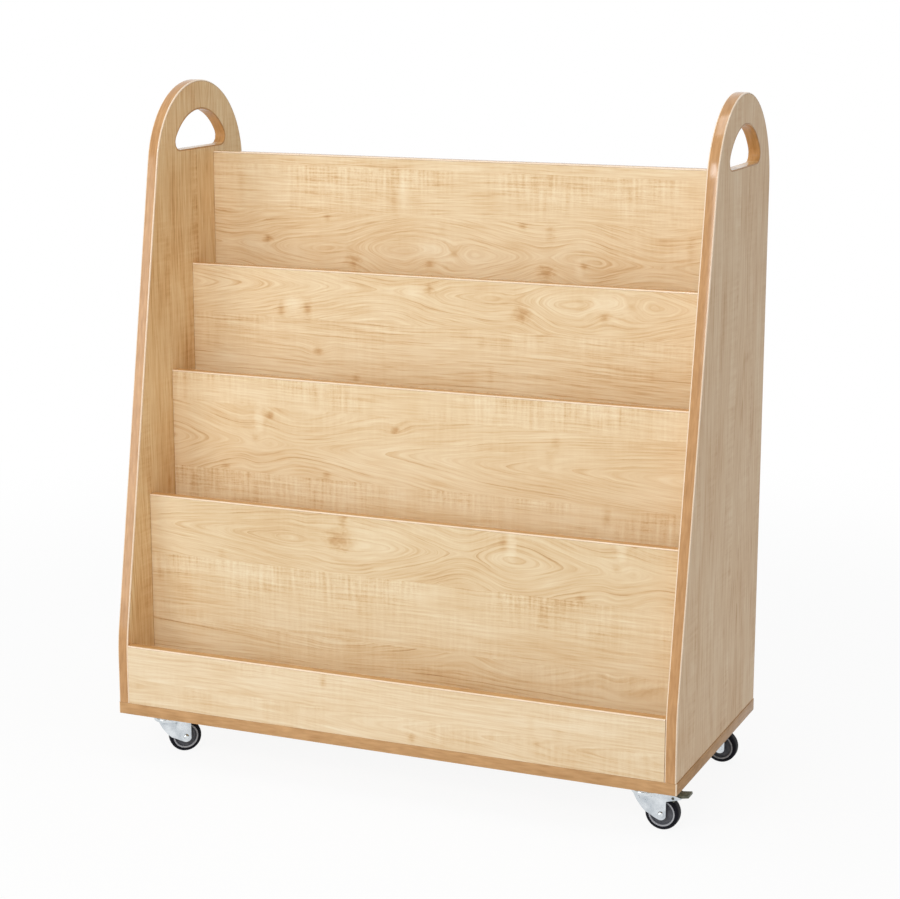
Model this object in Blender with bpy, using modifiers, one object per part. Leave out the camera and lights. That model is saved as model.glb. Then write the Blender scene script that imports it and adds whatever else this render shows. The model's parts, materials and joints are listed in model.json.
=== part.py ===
"""A tiered book display trolley: maple-effect boards with plastic edge bands, on four swivel castors.

Metres, +Z up. The front faces -Y. The origin is on the floor, under the middle of the base board.
"""

import math

import bmesh
import bpy

# Boards
BOARD = 0.018
BAND = 0.002
SEAT_GAP = 0.0003
UNIT_WIDTH = 0.922
END_DEPTH = 0.412
BASE_SIDE_OVERHANG = 0.001

# End panels, with heights above the base board's top
END_HEIGHT = 0.964
FRONT_EDGE_HEIGHT = 0.100
FRONT_SLOPE = math.radians(10.2)
FRONT_BEND_RADIUS = 0.300
HANDLE_TOP_GRIP = 0.0465
HANDLE_SIDE_GRIP = 0.0435
HANDLE_HEIGHT = 0.0605
HANDLE_CORNER_RADIUS = 0.013

# Lip and display panels, front to rear, with heights above the base board's top
LIP_HEIGHT = 0.095
PANEL_HEIGHTS = (0.323, 0.510, 0.673, 0.847)
POCKET_DEPTHS = (0.064, 0.062, 0.056, 0.059)
POCKET_FLOOR_DROP = 0.095

# Castor wheel
WHEEL_RADIUS = 0.0258
WHEEL_TRAIL = 0.024
TYRE_WIDTH = 0.018
TYRE_THICKNESS = 0.0057
TREAD_WIDTH = 0.006
SHOULDER_INSET = 0.002
SHOULDER_DROP = 0.0008
SIDE_DROP = 0.0025
RIM_WALL = 0.0020
RIM_TAPER = 0.002
WEB_THICKNESS = 0.008
BOSS_RADIUS = 0.0075
AXLE_RADIUS = 0.003
AXLE_HEAD_RADIUS = 0.0045
AXLE_HEAD_HEIGHT = 0.002
AXLE_HEAD_SIDE = 0.0007
AXLE_DOME_RADIUS = 0.0022
AXLE_DOME_HEIGHT = 0.0018
RUNNING_GAP = 0.0003

# Castor fork, from the wheel up
LEG_CLEARANCE = 0.003
LEG_THICKNESS = 0.002
LEG_JOGGLE = 0.002
LEG_LOBE_RADIUS = 0.0085
LEG_REAR_EDGE = 0.0080
LEG_KNEE_AHEAD = 0.0237
LEG_KNEE_ABOVE = 0.0011
LEG_BOW = 0.003
JOGGLE_START = 0.017
JOGGLE_END = 0.010
ROOF_CLEARANCE = 0.0077
ROOF_THICKNESS = 0.003
CROWN_RADIUS = 0.024
CROWN_LAND_RADIUS = 0.019
CROWN_RISE = 0.0042
CROWN_CHAMFER = 0.002
CROWN_TAPER = 0.0005
ROOF_OVERLAP = 0.0005
RACE_GAP = 0.0004

# Castor plate, king pin and screws
PLATE_SIDE = 0.060
PLATE_THICKNESS = 0.002
PLATE_CORNER_RADIUS = 0.006
RACE_RADIUS = 0.020
RACE_HEIGHT = 0.0046
KING_PIN_RADIUS = 0.0045
KING_PIN_HEAD_RADIUS = 0.0075
KING_PIN_HEAD_HEIGHT = 0.0025
SCREW_INSET = 0.0075
SCREW_RADIUS = 0.0022
SCREW_HEAD_RADIUS = 0.004
SCREW_HEAD_HEIGHT = 0.0026
SCREW_DOME_RADIUS = 0.0036
SCREW_DOME_HEIGHT = 0.0016
SCREW_TOP_RADIUS = 0.002
SCREW_DEPTH = 0.012
SCREW_POINT = 0.002

# Brake lever, its pivot placed from the wheel's axle
BRAKE_STANDOFF = 0.0073
BRAKE_ANGLE = math.radians(56.1)
BRAKE_HUB_RADIUS = 0.0035
BRAKE_PIN_RADIUS = 0.002
BRAKE_PIN_PROUD = 0.0006
BRAKE_SHOE_REACH = 0.0056
BRAKE_SHOE_RADIUS = 0.0015
BRAKE_SHOE_ROOT = 0.0028
BRAKE_SIDE_PLAY = 0.0015
PEDAL_LENGTH = 0.0228
PEDAL_SLOPE = math.radians(11)
PEDAL_THICKNESS = 0.0036
RELEASE_TAB_HEIGHT = 0.0065
ARM_BELOW_PIVOT = 0.0058
ARM_PAST_PIVOT = 0.0128
ARM_TIP_RISE = 0.0056
ARM_TIP_HEIGHT = 0.0018
ARM_SHOULDER_AHEAD = 0.007
ARM_SHOULDER_DROP = 0.0025
ARM_FILLET_RADIUS = 0.002

# Castor places, measured in from the base board's edges, and how each fork is turned at rest
CASTOR_INSET_X = 0.060
CASTOR_INSET_Y = 0.054
CASTORS = (
    ("front_right", 1, -1, 0.0, True),
    ("front_left", -1, -1, 40.0, False),
    ("rear_right", 1, 1, 0.0, False),
    ("rear_left", -1, 1, 172.0, True),
)

# Fineness of round shapes
ARCH_SEGMENTS = 36
BEND_SEGMENTS = 6
HANDLE_SEGMENTS = 20
CORNER_SEGMENTS = 4
LOBE_SEGMENTS = 10
BOW_SEGMENTS = 6
WHEEL_STEPS = 28
PIN_STEPS = 12
SCREW_STEPS = 8
SHARP_ANGLE = math.radians(50)
CUT_MARGIN = 0.004
MERGE_DISTANCE = 0.00001

# Levels and places worked out from the sizes above
wheel_top = 2 * WHEEL_RADIUS
roof_bottom = wheel_top + ROOF_CLEARANCE
roof_top = roof_bottom + ROOF_THICKNESS
crown_bottom = roof_top - CROWN_CHAMFER
crown_top = roof_top + CROWN_RISE
race_bottom = crown_top + RACE_GAP
plate_bottom = race_bottom + RACE_HEIGHT
plate_top = plate_bottom + PLATE_THICKNESS
base_bottom = plate_top + SEAT_GAP
base_top = base_bottom + BOARD
base_width = UNIT_WIDTH + 2 * BASE_SIDE_OVERHANG
base_depth = END_DEPTH
front = -END_DEPTH / 2
inner_half_width = UNIT_WIDTH / 2 - BOARD
rim_radius = WHEEL_RADIUS - TYRE_THICKNESS
leg_inner = TYRE_WIDTH / 2 + LEG_CLEARANCE
leg_outer = leg_inner + LEG_THICKNESS
screw_hole_radius = SCREW_RADIUS + SEAT_GAP
arch_radius = (
    END_DEPTH * math.cos(FRONT_SLOPE)
    - (END_HEIGHT - FRONT_EDGE_HEIGHT) * math.sin(FRONT_SLOPE)
) / (1 + math.cos(FRONT_SLOPE) - math.sin(FRONT_SLOPE))
arch_centre = (END_DEPTH - arch_radius, END_HEIGHT - arch_radius)
handle_radius = arch_radius - HANDLE_SIDE_GRIP
handle_centre = (arch_centre[0], END_HEIGHT - HANDLE_TOP_GRIP - handle_radius)
brake_pivot = (
    WHEEL_TRAIL + (WHEEL_RADIUS + BRAKE_STANDOFF) * math.cos(BRAKE_ANGLE),
    WHEEL_RADIUS + (WHEEL_RADIUS + BRAKE_STANDOFF) * math.sin(BRAKE_ANGLE),
)


def clear_scene():
    """Remove every object that the file opened with."""
    for obj in list(bpy.data.objects):
        bpy.data.objects.remove(obj, do_unlink=True)


def new_collection(name):
    """A collection under the scene's own."""
    collection = bpy.data.collections.new(name)
    bpy.context.scene.collection.children.link(collection)
    return collection


def linear(channel):
    """A screen colour channel of 0 to 255 as a linear value."""
    value = channel / 255
    if value <= 0.04045:
        return value / 12.92
    return ((value + 0.055) / 1.055) ** 2.4


def new_material(name, colour, roughness, metallic=0.0):
    """A Principled material from a screen colour."""
    material = bpy.data.materials.new(name)
    material.use_nodes = True
    shader = material.node_tree.nodes["Principled BSDF"]
    shader.inputs["Base Color"].default_value = (*(linear(c) for c in colour), 1)
    shader.inputs["Roughness"].default_value = roughness
    shader.inputs["Metallic"].default_value = metallic
    return material


def new_empty(name, location, turn=0.0, parent=None):
    """An empty that carries pieces, turned about Z by an angle in degrees."""
    empty = bpy.data.objects.new(name, None)
    empty.location = location
    empty.rotation_euler = (0, 0, math.radians(turn))
    empty.parent = parent
    parts.objects.link(empty)
    return empty


def place(name, mesh, material, parent, location=(0, 0, 0), rotation=(0, 0, 0)):
    """A named piece that shows a mesh, carried by an empty."""
    mesh.materials.clear()
    mesh.materials.append(material)
    piece = bpy.data.objects.new(name, mesh)
    piece.location = location
    piece.rotation_euler = rotation
    piece.parent = parent
    parts.objects.link(piece)
    return piece


def cutter(data):
    """A hidden object that holds a mesh or a curve for its modifiers or for a Boolean."""
    helper = bpy.data.objects.new("cutter", data)
    helper.hide_render = True
    helper.display_type = "WIRE"
    cutters.objects.link(helper)
    return helper


def evaluated(helper):
    """The mesh that an object's modifiers give, welded and shaded, with the object removed."""
    bpy.context.view_layer.update()
    graph = bpy.context.evaluated_depsgraph_get()
    mesh = bpy.data.meshes.new_from_object(helper.evaluated_get(graph))
    bpy.data.objects.remove(helper, do_unlink=True)
    work = bmesh.new()
    work.from_mesh(mesh)
    bmesh.ops.remove_doubles(work, verts=work.verts, dist=MERGE_DISTANCE)
    work.to_mesh(mesh)
    work.free()
    mesh.shade_smooth()
    mesh.set_sharp_from_angle(angle=SHARP_ANGLE)
    return mesh


def box(low, high):
    """A box between two corners."""
    mesh = bpy.data.meshes.new("box")
    work = bmesh.new()
    bmesh.ops.create_cube(work, size=1)
    size = [b - a for a, b in zip(low, high)]
    middle = [(a + b) / 2 for a, b in zip(low, high)]
    bmesh.ops.scale(work, vec=size, verts=work.verts)
    bmesh.ops.translate(work, vec=middle, verts=work.verts)
    work.to_mesh(mesh)
    work.free()
    return mesh


def cylinder(radius, low, high, steps, across=False):
    """A cylinder between two heights on Z, or between two places on Y."""
    mesh = bpy.data.meshes.new("cylinder")
    work = bmesh.new()
    bmesh.ops.create_cone(
        work, cap_ends=True, segments=steps, radius1=radius, radius2=radius, depth=high - low
    )
    bmesh.ops.translate(work, vec=(0, 0, (low + high) / 2), verts=work.verts)
    work.to_mesh(mesh)
    work.free()
    if across:
        mesh.transform(stand_across())
    return mesh


def moved(mesh, offset):
    """The same mesh, moved."""
    work = bmesh.new()
    work.from_mesh(mesh)
    bmesh.ops.translate(work, vec=offset, verts=work.verts)
    work.to_mesh(mesh)
    work.free()
    return mesh


def turn_matrix(rotation):
    """The matrix of an Euler rotation."""
    holder = bpy.data.objects.new("turn", None)
    holder.rotation_euler = rotation
    matrix = holder.rotation_euler.to_matrix().to_4x4()
    bpy.data.objects.remove(holder)
    return matrix


def stand_across():
    """Turns an outline drawn in X and Y to stand in X and Z, its thickness along Y."""
    return turn_matrix((math.pi / 2, 0, 0))


def prism(outlines, thickness):
    """A flat plate of an outline, with any further outlines cut out of it, centred on Z."""
    curve = bpy.data.curves.new("outline", "CURVE")
    curve.dimensions = "2D"
    curve.fill_mode = "BOTH"
    curve.extrude = thickness / 2
    for outline in outlines:
        spline = curve.splines.new("POLY")
        spline.points.add(len(outline) - 1)
        for point, (x, y) in zip(spline.points, outline):
            point.co = (x, y, 0, 1)
        spline.use_cyclic_u = True
    return evaluated(cutter(curve))


def turned(profile, steps, closed):
    """A profile of radius and height, listed down its outer side, turned about Z."""
    mesh = bpy.data.meshes.new("turned")
    points = [(radius, 0, height) for radius, height in profile]
    edges = [(i, i + 1) for i in range(len(points) - 1)]
    if closed:
        edges.append((len(points) - 1, 0))
    mesh.from_pydata(points, edges, [])
    helper = cutter(mesh)
    screw = helper.modifiers.new("turn", "SCREW")
    screw.steps = steps
    screw.render_steps = steps
    screw.use_merge_vertices = True
    screw.merge_threshold = MERGE_DISTANCE
    return evaluated(helper)


def combined(mesh, *steps):
    """A mesh after a row of Booleans, each an operation and the mesh that it takes."""
    helper = cutter(mesh)
    others = []
    for operation, other in steps:
        boolean = helper.modifiers.new(operation, "BOOLEAN")
        boolean.operation = operation
        boolean.solver = "EXACT"
        boolean.object = cutter(other)
        others.append(boolean.object)
    result = evaluated(helper)
    for other in others:
        bpy.data.objects.remove(other, do_unlink=True)
    return result


def arc(centre, radius, start, end, segments):
    """Points along an arc, both ends included."""
    angles = [start + (end - start) * i / segments for i in range(segments + 1)]
    return [(centre[0] + radius * math.cos(a), centre[1] + radius * math.sin(a)) for a in angles]


def bowed(start, end, bow):
    """Points along a line that bows out to its right by a height at the middle, both ends included."""
    run, rise = end[0] - start[0], end[1] - start[1]
    length = math.hypot(run, rise)
    points = []
    for i in range(BOW_SEGMENTS + 1):
        share = i / BOW_SEGMENTS
        out = 4 * bow * share * (1 - share) / length
        points.append((start[0] + run * share + rise * out, start[1] + rise * share - run * out))
    return points


def circle(centre, radius, segments):
    """Points round a circle."""
    return arc(centre, radius, 0, 2 * math.pi, segments)[:-1]


def end_outline(inset):
    """An end panel's edge from its front foot over the arch to its rear foot, set in by a distance.

    The points are a distance back from the front edge and a height above the base board.
    """
    bend_centre = (
        FRONT_BEND_RADIUS,
        FRONT_EDGE_HEIGHT - FRONT_BEND_RADIUS * math.tan(FRONT_SLOPE / 2),
    )
    slope_normal = math.pi - FRONT_SLOPE
    bend = arc(bend_centre, FRONT_BEND_RADIUS - inset, math.pi, slope_normal, BEND_SEGMENTS)
    arch = arc(arch_centre, arch_radius - inset, slope_normal, 0, ARCH_SEGMENTS)
    return [(inset, SEAT_GAP), *bend, *arch, (END_DEPTH - inset, SEAT_GAP)]


def handle_outline(outset):
    """The hand-hole: an arc over a flat with round corners, set out by a distance."""
    rise = handle_radius - HANDLE_HEIGHT + HANDLE_CORNER_RADIUS
    reach = math.sqrt((handle_radius - HANDLE_CORNER_RADIUS) ** 2 - rise**2)
    meeting = math.atan2(rise, reach)
    corner = HANDLE_CORNER_RADIUS + outset
    rear = (handle_centre[0] + reach, handle_centre[1] + rise)
    fore = (handle_centre[0] - reach, handle_centre[1] + rise)
    over = arc(handle_centre, handle_radius + outset, meeting, math.pi - meeting, HANDLE_SEGMENTS)
    fore_corner = arc(fore, corner, math.pi - meeting, 1.5 * math.pi, CORNER_SEGMENTS)
    rear_corner = arc(rear, corner, -math.pi / 2, meeting, CORNER_SEGMENTS)
    return [*over[:-1], *fore_corner, *rear_corner[:-1]]


def rounded_square(side, radius):
    """A square with round corners."""
    points = []
    middle = side / 2 - radius
    for i, (x, y) in enumerate(((1, 1), (-1, 1), (-1, -1), (1, -1))):
        start = i * math.pi / 2
        points += arc((x * middle, y * middle), radius, start, start + math.pi / 2, CORNER_SEGMENTS)
    return points


def rectangle(half_width, half_depth):
    """A rectangle about the origin."""
    return [
        (half_width, half_depth),
        (-half_width, half_depth),
        (-half_width, -half_depth),
        (half_width, -half_depth),
    ]


def castor_place(side, end):
    """Where a castor's swivel axis meets the floor."""
    return (
        side * (base_width / 2 - CASTOR_INSET_X),
        end * (base_depth / 2 - CASTOR_INSET_Y),
        0,
    )


def screw_places():
    """The four screws of a castor plate, from its middle."""
    half = PLATE_SIDE / 2 - SCREW_INSET
    return [(x * half, y * half) for x, y in ((1, 1), (-1, 1), (-1, -1), (1, -1))]


def build_base():
    """The base board, drilled for the castor screws, and the band round its edge."""
    outer = (base_width / 2, base_depth / 2)
    core = [half - BAND - SEAT_GAP for half in outer]
    mesh = box((-core[0], -core[1], base_bottom), (core[0], core[1], base_top))
    drills = []
    for _, side, end, _, _ in CASTORS:
        middle = castor_place(side, end)
        for x, y in screw_places():
            drill = cylinder(
                screw_hole_radius,
                base_bottom - CUT_MARGIN,
                base_bottom + SCREW_DEPTH + SEAT_GAP,
                SCREW_STEPS,
            )
            drills.append(("DIFFERENCE", moved(drill, (middle[0] + x, middle[1] + y, 0))))
    place("base_board", combined(mesh, *drills), board_finish, carcass)
    inner = [half - BAND for half in outer]
    band = prism([rectangle(*outer), rectangle(*inner)], BOARD)
    middle = (base_bottom + base_top) / 2
    place("base_edge_band", band, band_finish, carcass, (0, 0, middle))


def build_end(name, side):
    """One end panel with its hand-hole, the band over its edge and the band in its hand-hole."""
    where = (side * (UNIT_WIDTH - BOARD) / 2, front, base_top)
    sideways = (math.pi / 2, 0, math.pi / 2)
    core = [end_outline(BAND + SEAT_GAP), handle_outline(BAND + SEAT_GAP)]
    place(f"{name}_end_panel", prism(core, BOARD), board_finish, carcass, where, sideways)
    strip = [end_outline(0) + end_outline(BAND)[::-1]]
    place(f"{name}_end_edge_band", prism(strip, BOARD), band_finish, carcass, where, sideways)
    loop = [handle_outline(BAND), handle_outline(0)]
    place(f"{name}_handle_edge_band", prism(loop, BOARD), band_finish, carcass, where, sideways)


def build_upright(name, face, foot, height):
    """A board across the unit with a band on its top edge; face is where its front lies."""
    half = inner_half_width - SEAT_GAP
    top = base_top + height
    core_top = top - BAND - SEAT_GAP
    place(name, box((-half, face, foot), (half, face + BOARD, core_top)), board_finish, carcass)
    band = box((-half, face, top - BAND), (half, face + BOARD, top))
    place(f"{name}_edge_band", band, band_finish, carcass)


def build_uprights():
    """The lip, the display panels and the pocket floors between them."""
    half = inner_half_width - SEAT_GAP
    standing = base_top + SEAT_GAP
    build_upright("front_lip", front, standing, LIP_HEIGHT)
    face = front + BOARD + POCKET_DEPTHS[0]
    foot = standing
    last = len(PANEL_HEIGHTS)
    for number, height in enumerate(PANEL_HEIGHTS, 1):
        build_upright(f"display_panel_{number}", face, standing if number == last else foot, height)
        if number == last:
            break
        back = face + BOARD
        face = back + POCKET_DEPTHS[number]
        floor_top = base_top + height - POCKET_FLOOR_DROP
        foot = floor_top - BOARD
        floor = box((-half, back + SEAT_GAP, foot), (half, face - SEAT_GAP, floor_top))
        place(f"pocket_floor_{number}", floor, board_finish, carcass)


def plate_mesh():
    """A castor's mounting plate with the race under it and the riveted king pin."""
    holes = [circle(middle, screw_hole_radius, SCREW_STEPS) for middle in screw_places()]
    outline = rounded_square(PLATE_SIDE, PLATE_CORNER_RADIUS)
    plate_middle = plate_bottom + PLATE_THICKNESS / 2
    plate = moved(prism([outline, *holes], PLATE_THICKNESS), (0, 0, plate_middle))
    pin_head_top = crown_bottom - RUNNING_GAP
    pin_head_bottom = pin_head_top - KING_PIN_HEAD_HEIGHT
    profile = [
        (0, plate_middle),
        (RACE_RADIUS, plate_middle),
        (RACE_RADIUS, race_bottom),
        (KING_PIN_RADIUS, race_bottom),
        (KING_PIN_RADIUS, pin_head_top),
        (KING_PIN_HEAD_RADIUS, pin_head_top),
        (KING_PIN_HEAD_RADIUS, (pin_head_top + pin_head_bottom) / 2),
        (KING_PIN_RADIUS, pin_head_bottom),
        (0, pin_head_bottom),
    ]
    return combined(plate, ("UNION", turned(profile, PIN_STEPS, False)))


def leg_plan():
    """The two fork legs seen from above: flat beside the wheel, set inwards ahead of it."""
    start = WHEEL_TRAIL - JOGGLE_START
    end = WHEEL_TRAIL - JOGGLE_END
    nose = -CROWN_RADIUS - CUT_MARGIN
    tail = brake_pivot[0] + ARM_PAST_PIVOT + CUT_MARGIN
    narrow = leg_outer - LEG_JOGGLE
    outer = [(nose, narrow), (start, narrow), (end, leg_outer), (tail, leg_outer)]
    inner = [(x, y - LEG_THICKNESS) for x, y in outer]
    left = outer[::-1] + inner
    right = [(x, -y) for x, y in left[::-1]]
    return left, right


def leg_side(braked):
    """A fork leg seen from the side, with an arm for the brake lever on a braked castor."""
    axle = (WHEEL_TRAIL, WHEEL_RADIUS)
    knee = (axle[0] - LEG_KNEE_AHEAD, axle[1] + LEG_KNEE_ABOVE)
    reach = math.hypot(LEG_KNEE_AHEAD, LEG_KNEE_ABOVE)
    sight = math.atan2(-LEG_KNEE_ABOVE, LEG_KNEE_AHEAD)
    edge = sight - math.asin(LEG_LOBE_RADIUS / reach)
    rear_angle = -math.acos(LEG_REAR_EDGE / LEG_LOBE_RADIUS)
    lobe = arc(axle, LEG_LOBE_RADIUS, edge - math.pi / 2, rear_angle, LOBE_SEGMENTS)
    rear = axle[0] + LEG_REAR_EDGE
    outline = [*bowed((-CROWN_RADIUS + CROWN_CHAMFER, roof_top), knee, LEG_BOW), *lobe]
    if braked:
        arm_low = brake_pivot[1] - ARM_BELOW_PIVOT
        arm_end = brake_pivot[0] + ARM_PAST_PIVOT
        fillet = (rear + ARM_FILLET_RADIUS, arm_low - ARM_FILLET_RADIUS)
        outline += arc(fillet, ARM_FILLET_RADIUS, math.pi, math.pi / 2, CORNER_SEGMENTS)
        outline += [
            (arm_end, arm_low + ARM_TIP_RISE),
            (arm_end, arm_low + ARM_TIP_RISE + ARM_TIP_HEIGHT),
            (brake_pivot[0] - ARM_SHOULDER_AHEAD, roof_top - ARM_SHOULDER_DROP),
        ]
    return [*outline, (rear, roof_top)]


def fork_mesh(braked):
    """A pressed fork: two joggled legs under a round crown and a roof over the wheel."""
    left, right = leg_plan()
    height = crown_top + CUT_MARGIN
    across = leg_outer + CUT_MARGIN
    plan = moved(prism([left], height), (0, 0, height / 2))
    other = moved(prism([right], height), (0, 0, height / 2))
    side = prism([leg_side(braked)], 2 * across)
    side.transform(stand_across())
    crown = turned(
        [
            (0, crown_top),
            (CROWN_LAND_RADIUS, crown_top),
            (CROWN_RADIUS - CROWN_TAPER, crown_top - CROWN_CHAMFER),
            (CROWN_RADIUS, crown_bottom),
            (0, crown_bottom),
        ],
        WHEEL_STEPS,
        False,
    )
    roof_half = leg_inner + ROOF_OVERLAP
    roof_start = WHEEL_TRAIL - JOGGLE_END - LEG_JOGGLE
    roof_end = WHEEL_TRAIL + LEG_REAR_EDGE - ROOF_OVERLAP
    roof = box((roof_start, -roof_half, roof_bottom), (roof_end, roof_half, roof_top - ROOF_OVERLAP))
    pin_hole = cylinder(KING_PIN_RADIUS + RUNNING_GAP, roof_bottom - CUT_MARGIN, height, PIN_STEPS)
    axle_hole = cylinder(AXLE_RADIUS + RUNNING_GAP, -across, across, PIN_STEPS, True)
    steps = [
        ("UNION", other),
        ("INTERSECT", side),
        ("UNION", crown),
        ("UNION", roof),
        ("DIFFERENCE", pin_hole),
        ("DIFFERENCE", moved(axle_hole, (WHEEL_TRAIL, 0, WHEEL_RADIUS))),
    ]
    if braked:
        pivot_hole = cylinder(BRAKE_PIN_RADIUS + RUNNING_GAP, -across, across, SCREW_STEPS, True)
        steps.append(("DIFFERENCE", moved(pivot_hole, (brake_pivot[0], 0, brake_pivot[1]))))
    return combined(plan, *steps)


def mirrored_down(profile):
    """A profile's upper half followed by its mirror image below."""
    return profile + [(radius, -height) for radius, height in profile[::-1]]


def axle_mesh():
    """The axle rivet, with a domed head outside each leg."""
    seat = leg_outer + SEAT_GAP
    upper = [
        (0, seat + AXLE_HEAD_HEIGHT),
        (AXLE_DOME_RADIUS, seat + AXLE_DOME_HEIGHT),
        (AXLE_HEAD_RADIUS, seat + AXLE_HEAD_SIDE),
        (AXLE_HEAD_RADIUS, seat),
        (AXLE_RADIUS, seat),
    ]
    return turned(mirrored_down(upper), PIN_STEPS, False)


def hub_mesh():
    """The wheel's hub: a boss that runs on the axle, a thin web and a rim."""
    boss_end = leg_inner - RUNNING_GAP
    rim_face = TYRE_WIDTH / 2
    web = WEB_THICKNESS / 2
    upper = [
        (AXLE_RADIUS + RUNNING_GAP, boss_end),
        (BOSS_RADIUS, boss_end),
        (BOSS_RADIUS, web),
        (rim_radius - RIM_WALL - RIM_TAPER, web),
        (rim_radius - RIM_WALL, rim_face),
        (rim_radius, rim_face),
    ]
    return turned(mirrored_down(upper), WHEEL_STEPS, True)


def tyre_mesh():
    """The tyre, a ring with a crowned tread."""
    half = TYRE_WIDTH / 2
    upper = [
        (rim_radius + SEAT_GAP, half),
        (WHEEL_RADIUS - SIDE_DROP, half),
        (WHEEL_RADIUS - SHOULDER_DROP, half - SHOULDER_INSET),
        (WHEEL_RADIUS, TREAD_WIDTH / 2),
    ]
    return turned(mirrored_down(upper), WHEEL_STEPS, True)


def screw_mesh():
    """A plate screw, its origin under its head's seat."""
    upper = SCREW_DEPTH + PLATE_THICKNESS
    profile = [
        (0, upper),
        (SCREW_RADIUS, upper - SCREW_POINT),
        (SCREW_RADIUS, 0),
        (SCREW_HEAD_RADIUS, 0),
        (SCREW_DOME_RADIUS, -SCREW_DOME_HEIGHT),
        (SCREW_TOP_RADIUS, -SCREW_HEAD_HEIGHT),
        (0, -SCREW_HEAD_HEIGHT),
    ]
    return turned(profile, SCREW_STEPS, False)


def lever_mesh():
    """The brake lever about its pivot: hub, shoe, pedal and release tab, with its pin."""
    width = 2 * (leg_inner - BRAKE_SIDE_PLAY)
    tip = (PEDAL_LENGTH * math.cos(PEDAL_SLOPE), PEDAL_LENGTH * math.sin(PEDAL_SLOPE))
    half = PEDAL_THICKNESS / 2
    across = (-half * math.sin(PEDAL_SLOPE), half * math.cos(PEDAL_SLOPE))
    pedal_root = BRAKE_HUB_RADIUS * math.cos(PEDAL_SLOPE)
    pedal_rise = BRAKE_HUB_RADIUS * math.sin(PEDAL_SLOPE)
    outline = [
        *arc((0, -BRAKE_SHOE_REACH), BRAKE_SHOE_RADIUS, math.pi, 2 * math.pi, CORNER_SEGMENTS),
        (BRAKE_SHOE_RADIUS, -BRAKE_SHOE_ROOT),
        (pedal_root - across[0], pedal_rise - across[1]),
        (tip[0] - across[0], tip[1] - across[1]),
        (tip[0] + across[0], tip[1] + across[1]),
        (pedal_root + PEDAL_THICKNESS, pedal_rise + PEDAL_THICKNESS),
        (pedal_root, RELEASE_TAB_HEIGHT),
        (pedal_root - PEDAL_THICKNESS, RELEASE_TAB_HEIGHT),
        *arc((0, 0), BRAKE_HUB_RADIUS, math.pi / 2, math.pi, CORNER_SEGMENTS),
    ]
    lever = prism([outline], width)
    lever.transform(stand_across())
    pin_half = leg_outer + BRAKE_PIN_PROUD
    pin = cylinder(BRAKE_PIN_RADIUS, -pin_half, pin_half, SCREW_STEPS, True)
    return combined(lever, ("UNION", pin))


def build_castors():
    """Four castors: the plates and screws stay with the base, the forks and wheels are turned."""
    plate = plate_mesh()
    screw = screw_mesh()
    forks = {braked: fork_mesh(braked) for braked in (False, True)}
    axle = axle_mesh()
    hub = hub_mesh()
    tyre = tyre_mesh()
    lever = lever_mesh()
    upright = (math.pi / 2, 0, 0)
    at_axle = (WHEEL_TRAIL, 0, WHEEL_RADIUS)
    for name, side, end, turn, braked in CASTORS:
        where = castor_place(side, end)
        fixed = new_empty(f"{name}_castor_seat", where, 0, carcass)
        place(f"{name}_castor_plate", plate, zinc_finish, fixed)
        for number, (x, y) in enumerate(screw_places(), 1):
            seat = (x, y, plate_bottom - SEAT_GAP)
            place(f"{name}_castor_screw_{number}", screw, screw_finish, fixed, seat)
        swivel = new_empty(f"{name}_castor_swivel", where, turn, carcass)
        place(f"{name}_castor_fork", forks[braked], zinc_finish, swivel)
        place(f"{name}_castor_axle", axle, zinc_finish, swivel, at_axle, upright)
        place(f"{name}_castor_hub", hub, hub_finish, swivel, at_axle, upright)
        place(f"{name}_castor_tyre", tyre, tyre_finish, swivel, at_axle, upright)
        if braked:
            pivot = (brake_pivot[0], 0, brake_pivot[1])
            place(f"{name}_brake_lever", lever, lever_finish, swivel, pivot)


clear_scene()
parts = new_collection("book_display_trolley")
cutters = new_collection("cutters")
board_finish = new_material("maple_laminate", (230, 200, 155), 0.45)
band_finish = new_material("edge_band", (204, 153, 104), 0.40)
zinc_finish = new_material("zinc_plate", (205, 210, 212), 0.30, 1.0)
screw_finish = new_material("screw_steel", (190, 192, 190), 0.35, 1.0)
hub_finish = new_material("hub_plastic", (110, 111, 116), 0.45)
tyre_finish = new_material("tyre_rubber", (22, 22, 26), 0.60)
lever_finish = new_material("lever_paint", (52, 54, 46), 0.50)
carcass = new_empty("carcass", (0, 0, 0))
build_base()
build_end("left", -1)
build_end("right", 1)
build_uprights()
build_castors()
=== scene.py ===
"""Looks of a castored book display: laminate, trimmed edge bands, castors, studio and camera.

Everything is in metres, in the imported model's own frame: +Z up, the front towards -Y.
"""

from __future__ import annotations

import json
import logging
import math
from dataclasses import dataclass, field
from enum import Enum, IntEnum
from typing import Any, Callable, Iterator, Sequence

import bmesh
import bpy
from bmesh.types import BMEdge
from bpy.types import ColorRamp, Material, NodeSocket, Object
from mathutils import Matrix, Vector

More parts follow.
